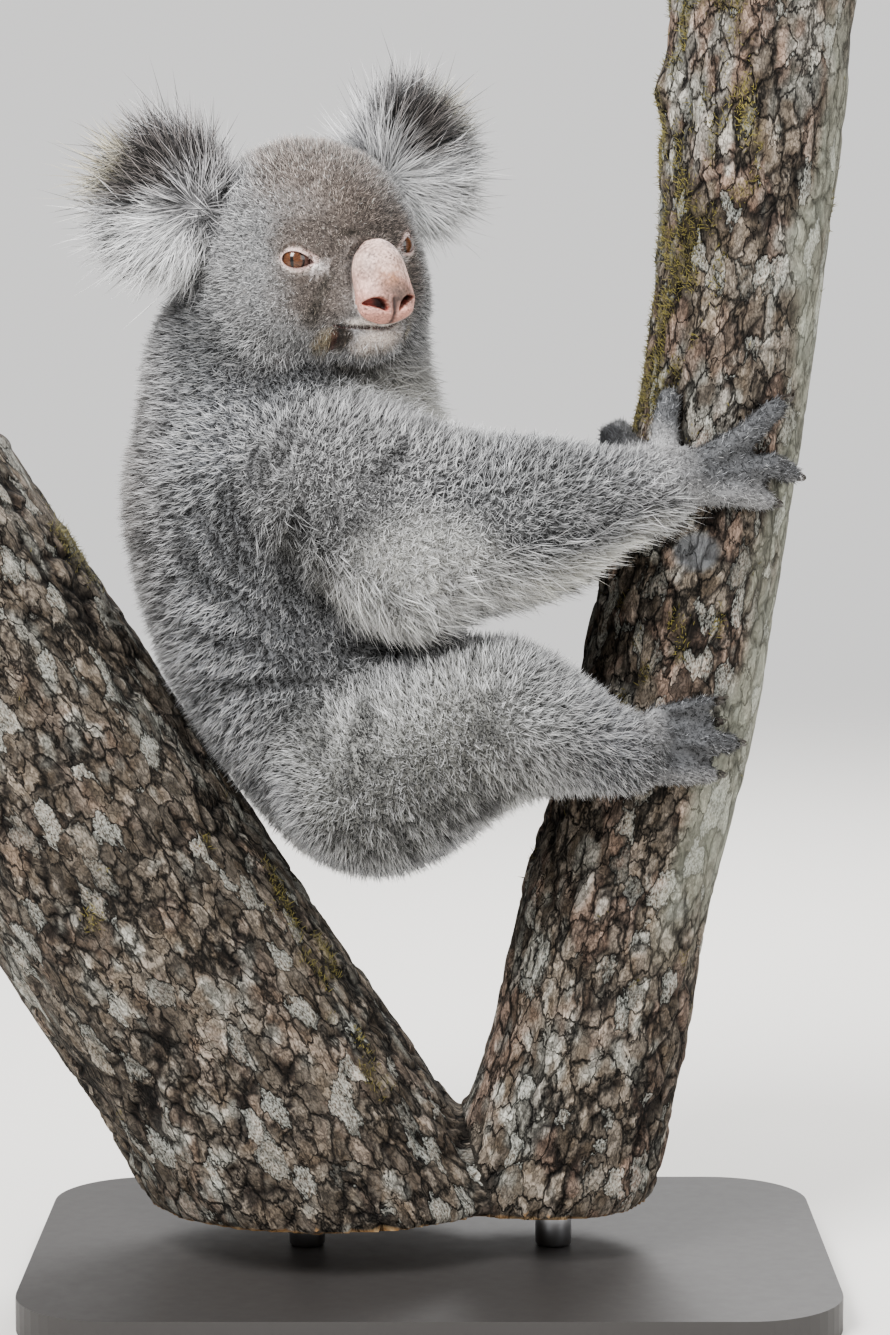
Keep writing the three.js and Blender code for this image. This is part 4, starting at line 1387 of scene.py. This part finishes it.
nose_pad.data.materials.append(leather.material)
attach(nose_pad, "root")
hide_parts("nose")

IRIS_RADIUS, CORNEA_RISE = 6.5, 0.5  # mm
PUPIL_WIDE, PUPIL_TALL = 0.95, 4.0  # half its width and height, mm
LOOK_OUT = 44  # degrees the eyes look out from straight ahead
IRIS, IRIS_DEEP, IRIS_RIM = linear(94, 58, 34), linear(56, 33, 20), linear(12, 9, 8)
PUPIL, EYE_WHITE = linear(6, 5, 5), linear(84, 62, 56)
BALL_STEPS = (72, 54)


def eyeball(side):
    """A ball with a raised cornea, coloured from its own gaze: iris, upright slit pupil and dark rim."""
    turn = math.radians(LOOK_OUT)
    gaze = unit(np.array([math.cos(turn), SIDES[side] * math.sin(turn), 0.02]))
    across = unit(np.cross([0, 0, 1.0], gaze))
    up = np.cross(gaze, across)
    turns, down = BALL_STEPS
    theta = np.linspace(0, math.pi, down + 1)[1:-1]
    phi = np.arange(turns) * 2 * math.pi / turns
    th, ph = (x.ravel() for x in np.meshgrid(theta, phi, indexing="ij"))
    ball = np.stack([np.sin(th) * np.cos(ph), np.sin(th) * np.sin(ph), np.cos(th)], -1)
    ball = np.concatenate([ball, [[0, 0, 1.0], [0, 0, -1.0]]])
    off_axis = np.hypot(ball[:, 0], ball[:, 1]) * BALL
    raised = BALL + CORNEA_RISE * ramp(IRIS_RADIUS + 1, 0, off_axis) * (ball[:, 2] > 0)
    local = ball * raised[:, None]
    faces = []
    for a, b in ring_pairs(down - 1, turns):
        faces += [(a, a + turns, b + turns), (a, b + turns, b)]
    top, bottom = len(ball) - 2, len(ball) - 1
    last = (down - 2) * turns
    for k in range(turns):
        faces += [(top, k, (k + 1) % turns), (bottom, last + (k + 1) % turns, last + k)]
    middle = EYES[side] - eye_axes(side)[0] * BALL_SINK
    world = from_head(middle + local @ np.stack([across, up, gaze]))
    made = make_object("eyeball_" + side, world, np.array(faces))
    store(made, "eye_x", local[:, 0])
    store(made, "eye_y", local[:, 1])
    return made


def eye_material():
    """The iris and pupil by their distance from the eye's own axis, under a wet coat."""
    wet = {"Roughness": 0.25, "Coat Weight": 0.7, "Specular IOR Level": 0.2, "Coat Roughness": 0.03}
    look = Look("eye_glass", wet)
    maths = look.maths

    def squares(a, b):
        return maths("ADD", maths("MULTIPLY", a, a), maths("MULTIPLY", b, b))

    def from_to_smooth(value, low, high):
        return look.between(value, low, high, kind="SMOOTHSTEP")

    x, y = look.stored("eye_x"), look.stored("eye_y")
    radius = maths("SQRT", squares(x, y))
    angle = maths("ARCTAN2", y, x)
    spokes = [maths("MULTIPLY", maths(turn, angle), 9.0) for turn in ("SINE", "COSINE")]
    spokes.append(maths("MULTIPLY", radius, 0.5))
    fibres = look.noise(look.node("CombineXYZ", 0, dict(enumerate(spokes))), 1.0, 2.0, 0.5)
    iris = look.over(IRIS_DEEP, IRIS, from_to_smooth(fibres, 0.3, 0.65))
    iris = look.over(iris, IRIS_RIM, from_to_smooth(radius, IRIS_RADIUS - 1.3, IRIS_RADIUS - 0.2))
    slit = squares(maths("DIVIDE", x, PUPIL_WIDE), maths("DIVIDE", y, PUPIL_TALL))
    iris = look.over(iris, PUPIL, from_to_smooth(slit, 1.25, 0.8))
    look.colour(look.over(iris, EYE_WHITE, from_to_smooth(radius, IRIS_RADIUS - 0.1, IRIS_RADIUS + 0.7)))
    return look.material


EYE_GLASS = eye_material()
for side in SIDES:
    ball = eyeball(side)
    ball.data.materials.append(EYE_GLASS)
    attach(ball, "root")
    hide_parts("eye_" + side)

# ---------------------------------------------------------------- claws and stand

horn = Look("horn", {"Roughness": 0.32, "Coat Weight": 0.25})
grain = horn.grain(2.2)
horn.colour(horn.two_colours(grain, linear(24, 21, 20), linear(64, 56, 50)))
horn.bump(grain, 0.2, 0.2)

CLAW_LEVELS = 2
for name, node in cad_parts.items():
    if name.startswith("claw_"):
        node.data.materials.clear()
        node.data.materials.append(horn.material)
        rounded = node.modifiers.new("rounded", "SUBSURF")
        rounded.levels = rounded.render_levels = CLAW_LEVELS


STAND_EDGE = 2.5 * MM  # the rounding of the board's edges
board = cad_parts["stand_base"]
board.data.materials.clear()
board.data.materials.append(plain("stand_paint", linear(58, 56, 55), 0.5).material)
edge = board.modifiers.new("edge", "BEVEL")
edge.width, edge.segments, edge.limit_method, edge.angle_limit = STAND_EDGE, 4, "ANGLE", math.radians(50)

STEEL = plain("stand_steel", linear(176, 176, 178), 0.34, metallic=1.0, size_mm=3.0).material
ROD_SIDES, ROD_BEVEL = 48, 1.2 * MM
for rod in ("stand_rod_front", "stand_rod_back"):
    low, high = (np.array(v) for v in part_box(rod))
    radius, middle = (high[0] - low[0]) / 2, (low + high) / 2
    turn = np.arange(ROD_SIDES) * 2 * math.pi / ROD_SIDES
    ring = np.stack([np.cos(turn), np.sin(turn), np.zeros(ROD_SIDES)], -1)
    rows = [(0, low[2]), (radius - ROD_BEVEL, low[2]), (radius, low[2] + ROD_BEVEL)]
    rows += [(radius, high[2] - ROD_BEVEL), (radius - ROD_BEVEL, high[2]), (0, high[2])]
    points = np.concatenate([ring * max(r, 1e-5) + np.array([middle[0], middle[1], z]) for r, z in rows])
    pairs = ring_pairs(len(rows), ROD_SIDES)
    faces = [(a, b, b + ROD_SIDES, a + ROD_SIDES) for a, b in pairs]
    made = make_object(rod + "_round", points, np.array(faces))
    made.data.materials.append(STEEL)
    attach(made, "root")
    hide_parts(rod)

# ---------------------------------------------------------------- the fork's bark

BARK_VOXEL = 2.85 * MM
# each limb's axis, x and z, mm
UPRIGHT_AXIS = np.array([(62, 20), (112, 234), (157, 433), (184, 600), (190, 680), (203, 850)], float)
LEANING_AXIS = np.array([(-40, 10), (-120, 143), (-350, 499)], float)
UPRIGHT_RADIUS, LEANING_RADIUS = 55.0, 90.0
PLATE, FLAKE = 14.0, 5.0  # the bark plates' and flakes' width, mm
STRETCH = 0.5  # plates are this many times as wide as they are tall


def along_limb(points, axis):
    """How far along a limb each point lies, how far from its axis, and which way out, in mm."""
    flat = points[:, [0, 2]] / MM
    best = np.full(len(points), 1e9)
    run = np.zeros(len(points))
    foot = np.zeros_like(flat)
    way = np.zeros_like(flat)
    done = 0.0
    for a, b in zip(axis[:-1], axis[1:]):
        step = b - a
        long = np.linalg.norm(step)
        t = np.clip((flat - a) @ step / long**2, 0, 1)
        at = a + t[:, None] * step
        gap = np.linalg.norm(flat - at, axis=1)
        better = gap < best
        best = np.where(better, gap, best)
        run = np.where(better, done + t * long, run)
        foot[better], way[better] = at[better], step / long
        done += long
    rel = flat - foot
    across = rel[:, 0] * way[:, 1] - rel[:, 1] * way[:, 0]
    deep = points[:, 1] / MM
    away = np.hypot(across, deep)
    out = np.stack([across, deep], -1) / np.maximum(away, 1e-9)[:, None]
    return run, away, out


bark_points, bark_tris = voxel_surface(["perch"], 0.0, BARK_VOXEL)
bark_links = links_of(bark_tris, len(bark_points))
raw_normals = spread(normals_of(bark_points, bark_tris), bark_links, 2)
fork_low, fork_high = (np.array(v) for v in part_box("perch"))
CUT_BAND = 3.5 * MM
cut = np.maximum.reduce([
    ramp(fork_high[2] - CUT_BAND, fork_high[2] - 0.3 * CUT_BAND, bark_points[:, 2]),
    ramp(fork_low[0] + CUT_BAND, fork_low[0] + 0.3 * CUT_BAND, bark_points[:, 0]),
    ramp(fork_low[2] + CUT_BAND, fork_low[2] + 0.3 * CUT_BAND, bark_points[:, 2]),
]) * (np.abs(raw_normals).max(1) > 0.93)
bark_points = spread(bark_points, bark_links, 26, (1 - ramp(0, 0.2, cut))[:, None])
run_up, away_up, out_up = along_limb(bark_points, UPRIGHT_AXIS)
run_lean, away_lean, out_lean = along_limb(bark_points, LEANING_AXIS)
upright = away_up / UPRIGHT_RADIUS < away_lean / LEANING_RADIUS
run, away = np.where(upright, run_up, run_lean), np.where(upright, away_up, away_lean)
out = np.where(upright[:, None], out_up, out_lean)
girth = np.where(upright, UPRIGHT_RADIUS, LEANING_RADIUS)
place = np.concatenate([out * girth[:, None], (run * STRETCH)[:, None]], 1)
place[~upright] += 700.0  # so that the two limbs' patterns differ
bent = place + np.stack([noise(place, 22, k) for k in (51, 52, 53)], -1) * 6.0
bent = bent + np.stack([noise(place, 7, k) for k in (64, 65, 66)], -1) * 2.2
_, plate_border, plate_mark = cells(bent, PLATE, 60)
_, _, flake_mark = cells(bent + 100, FLAKE, 70)
crack = ramp(0.16, 0.02, plate_border) * ramp(-0.55, 0.25, noise(place, 22, 54))
smooth = ramp(0.72, 0.9, out @ unit(np.array([1.0, -0.3])) + noise(place, 24, 55) * 0.2)
smooth = smooth * upright * ramp(170, 260, run) * ramp(820, 700, run)
moss_at = noise(place, 30, 56) * 0.6 + noise(place, 9, 57) * 0.75
moss_up = ramp(0.75, -0.45, out_up[:, 0]) * ramp(0.75, 0.1, out_up[:, 1]) * ramp(380, 520, run_up)
moss_low = hill(out_up[:, 0], 0.05, 0.35) * (out_up[:, 1] < 0) * hill(run_up, 370, 60)
moss_lean = ramp(0.6, 0.95, out_lean[:, 0]) * 0.42
moss = np.where(upright, np.maximum(moss_up, 1.5 * moss_low), moss_lean)
moss = ramp(0.72, 1.15, moss + moss_at * 1.1 - 0.12) * ramp(0.5, 0, cut)
lichen = ramp(0.28, 0.6, noise(place, 24, 58) * 0.6 + noise(place, 6, 59) * 0.6 + 0.15 * upright)
pink_up = ramp(0.45, 0.8, plate_mark + noise(place, 30, 61) * 0.3)
pinkish = np.where(upright, pink_up, 0.4 * ramp(0.7, 0.9, plate_mark))

KNOT = ((0.156, 0.447), (0.013, 0.011))  # the x and z of a smooth scar in front, and half its size
KNOB = ((0.136, -0.005, 0.716), 0.014)  # a swelling on the upright limb's left edge, and its size
in_front = (bark_points[:, 1] < 0) * upright
scar_gap = gap_to(bark_points[:, [0, 2]], *KNOT)
scar = ramp(1.15, 0.9, scar_gap) * in_front
smooth = np.maximum(smooth, scar)
PLATE_STEP, FLAKE_STEP, CRACK_DEEP = 1.7, 0.9, 3.2  # mm
KNOT_RIM, KNOB_HIGH, SWELLS, MOSS_HIGH = 1.4, 7.0, 1.2, 0.9  # mm
plates = (PLATE_STEP * (plate_mark - 0.4) + FLAKE_STEP * (flake_mark - 0.5)) * (1 - 0.75 * smooth)
lift = plates - CRACK_DEEP * crack * (1 - 0.6 * smooth) + SWELLS * noise(place, 44, 62) + MOSS_HIGH * moss
lift += KNOT_RIM * hill(scar_gap, 1.2, 0.22) * in_front + KNOB_HIGH * hill(gap_to(bark_points, *KNOB), 0, 1)
lift = spread(lift, bark_links, 1) * (1 - ramp(0, 0.3, cut))
bark_normals = spread(normals_of(bark_points, bark_tris), bark_links, 3)
bark_points = bark_points + unit(bark_normals) * lift[:, None] * MM

BARK_GREY, BARK_BROWN, BARK_PINK = linear(156, 146, 134), linear(112, 100, 86), linear(186, 150, 134)
# BARK_CRACK_SHADE is painted shade in the bark's cracks
BARK_CRACK_SHADE, BARK_LICHEN, BARK_PALE = linear(26, 20, 18), linear(204, 206, 198), linear(138, 140, 128)
MOSS_DEEP, MOSS_TIP, SCAR = linear(62, 58, 31), linear(142, 132, 76), linear(120, 122, 130)
bark_colour = coloured(mixed(BARK_BROWN, BARK_GREY, flake_mark[:, None]), [
    (BARK_PINK, 0.3 * pinkish),
    (BARK_LICHEN, 0.5 * lichen),
])
bark_colour = coloured(bark_colour * np.where(upright, 0.74, 0.62)[:, None], [
    (BARK_PALE, 0.85 * smooth),
    (SCAR, 0.7 * scar),
    (MOSS_DEEP * 1.4, 0.55 * moss),
    # painted shade in the cracks
    (BARK_CRACK_SHADE, 0.92 * crack * (1 - 0.4 * smooth)),
])
perch = make_object("perch_bark", bark_points, bark_tris)
paint(perch, "bark", bark_colour)
where = perch.data.attributes.new(name="bark_place", type="FLOAT_VECTOR", domain="POINT")
where.data.foreach_set("vector", place.astype(np.float32).ravel())
store(perch, "cut", ramp(0, 0.3, cut))
store(perch, "ring", away)
store(perch, "rough_bark", 1 - 0.55 * smooth)


def bark_material():
    """Plates, flakes and cracks of bark over the stored colours, and rings of wood on the sawn ends."""
    look = textured("bark_skin", "bark", 0.85, 0.25)
    maths, between = look.maths, look.between
    stored_colour = look.shader.inputs["Base Color"].links[0].from_socket

    def plates_at(where, scale):
        """For bark cells of that scale: two random numbers for each, and how far a spot is from the edge."""
        inputs = {"Vector": where, "Scale": scale}
        mark = look.node("TexVoronoi", "Color", inputs)
        edge = look.node("TexVoronoi", "Distance", inputs, feature="DISTANCE_TO_EDGE")
        red = look.node("SeparateColor", "Red", {"Color": mark})
        return red, red.node.outputs["Green"], edge

    place = look.stored("bark_place", "Vector")
    wander = look.noise(place, 0.11, 3.0, out="Color")
    bent = look.node("VectorMath", 0, {0: wander, 1: (13, 13, 13), 2: place}, operation="MULTIPLY_ADD")
    plate, tint, plate_edge = plates_at(bent, 0.1)
    flake, _, flake_edge = plates_at(bent, 0.3)
    fine = look.noise(place, 1.1, 6.0)
    # painted shade: the colour is darkened in the cracks between plates and at the flakes' edges
    crack_width = between(look.noise(place, 0.06, 2.0), 0.38, 0.62, 0.02, 0.17)
    crack = between(plate_edge, 0.0, crack_width, 0.1, 1.0)
    rough = look.stored("rough_bark")
    level = maths("MULTIPLY", between(plate, 0, 1, 0.5, 1.3), between(flake, 0, 1, 0.62, 1.34))
    level = maths("MULTIPLY", level, between(fine, 0.32, 0.68, 0.55, 1.45))
    level = maths("MULTIPLY", level, between(flake_edge, 0.0, 0.16, 0.45, 1.0))
    level = look.node("Mix", 0, {"Factor": rough, 2: 1.0, 3: maths("MULTIPLY", level, crack)})
    bark = look.over(stored_colour, level, 1.0, "MULTIPLY")
    pale = maths("MULTIPLY", between(tint, 0.84, 0.92), between(fine, 0.4, 0.6, 0.0, 0.45))
    bark = look.over(bark, BARK_LICHEN, pale)
    rings = maths("PINGPONG", maths("MULTIPLY_ADD", fine, 2.5, look.stored("ring")), 1.6)
    wood = look.two_colours(rings, linear(214, 184, 142), linear(176, 138, 96))
    look.colour(look.over(bark, wood, look.stored("cut")))
    height = maths("MULTIPLY_ADD", plate, 0.8, crack)
    height = maths("MULTIPLY_ADD", flake, 0.35, height)
    height = maths("MULTIPLY_ADD", fine, 0.5, height)
    look.bump(maths("MULTIPLY", height, maths("MULTIPLY_ADD", rough, 0.7, 0.3)), 1.0, 2.2)
    return look.material


perch.data.materials.append(bark_material())
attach(perch, "root")
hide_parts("perch")

# moss in small curled tufts
MOSS_SPACING, MOSS_LENGTH, MOSS_WIDTH = 1.8, 4.0, 0.9  # mm
moss_area = area_of(bark_points, bark_tris) * moss[bark_tris].mean(1)
moss_pick = bark_tris[spaced_out(moss_area, MOSS_SPACING)]
share = rng.dirichlet([1, 1, 1], len(moss_pick))
root = (bark_points[moss_pick] * share[..., None]).sum(1)
normal = unit((bark_normals[moss_pick] * share[..., None]).sum(1))
lie = rng.normal(0, 1, (len(root), 3)) + np.array([0, 0, 0.8])
lie = unit(lie - normal * (lie * normal).sum(1, keepdims=True))
count = len(root)
tone = (0.6 + 0.7 * rng.random(count))[:, None] * (1 + 0.35 * noise(root, 0.02, 63))[:, None]
length, lift = MOSS_LENGTH * (0.5 + 0.9 * rng.random(count)) * MM, rng.normal(48, 16, count)
width, colours = np.full(count, MOSS_WIDTH * MM), (MOSS_DEEP * tone, MOSS_TIP * tone)
strands = strand_mesh(root, normal, lie, length, width, lift, -20.0, 0.0, colours, 1)
MOSS = textured("moss_green", "fur", 0.8, 0.2, 0.1).material
write_coat("moss", MOSS, "bark", strands, round_places(root, np.array([0.06, 0, 0.3]), [0.2, 0, 1.0]))

# ---------------------------------------------------------------- floor, light and camera

FLOOR_HALF, FADE_START, FADE_END = 6.0, 0.9, 4.0  # metres; the floor fades out into the room's light
paint_look = plain("floor_paint", linear(226, 224, 220), 0.75, size_mm=60, bump_mm=0.1)
place = paint_look.node("TexCoord", "Object", {})
away = paint_look.node("VectorMath", "Value", {0: place}, operation="LENGTH")
fade = paint_look.between(away, FADE_START, FADE_END, 1.0, 0.0, "SMOOTHSTEP")
paint_look.feed(paint_look.shader, {"Alpha": fade})
corners = np.array([(-1, -1, 0), (1, -1, 0), (1, 1, 0), (-1, 1, 0)]) * FLOOR_HALF
floor = make_object("floor", corners, np.array([(0, 1, 2, 3)]))
floor.data.materials.append(paint_look.material)
floor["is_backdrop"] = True

world = bpy.data.worlds.new("studio")
bpy.context.scene.world = world
world.use_nodes = True
sky = world.node_tree.nodes["Background"]
sky.inputs["Color"].default_value = (*linear(232, 231, 230), 1)
sky.inputs["Strength"].default_value = 1.02

# each: name, place, size in metres, strength in watts
LIGHTS = [
    ("key", (-1.2, -1.9, 2.4), 1.2, 134),
    ("fill", (2.2, -1.6, 1.2), 1.6, 28),
    ("back", (0.6, 1.9, 2.2), 1.4, 66),
]
for name, at, size, watts in LIGHTS:
    light = bpy.data.lights.new(name, "AREA")
    light.energy, light.size = watts, size
    lamp = bpy.data.objects.new(name, light)
    bpy.context.collection.objects.link(lamp)
    lamp.location = at
    lamp.rotation_euler = (Vector((0, 0, 0.45)) - Vector(at)).to_track_quat("-Z", "Y").to_euler()

LENS, SENSOR_TALL, SENSOR_WIDE = 100, 36, 24  # mm
AIM, CAMERA_AWAY, CAMERA_UP = Vector((0.009, 0, 0.3735)), 2.225, 6  # metres, metres, degrees above level
lens = bpy.data.cameras.new("camera")
lens.lens, lens.sensor_fit = LENS, "VERTICAL"
lens.sensor_height, lens.sensor_width = SENSOR_TALL, SENSOR_WIDE
camera = bpy.data.objects.new("camera", lens)
bpy.context.collection.objects.link(camera)
tilt = math.radians(CAMERA_UP)
camera.location = AIM + Vector((0, -math.cos(tilt), math.sin(tilt))) * CAMERA_AWAY
camera.rotation_euler = (AIM - camera.location).to_track_quat("-Z", "Y").to_euler()
bpy.context.scene.camera = camera
bpy.context.scene.view_settings.look = "AgX - Medium High Contrast"

bpy.context.view_layer.update()
low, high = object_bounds()
sizes = {"cad": [list(cad_low), list(cad_high)], "visual": [list(low), list(high)]}
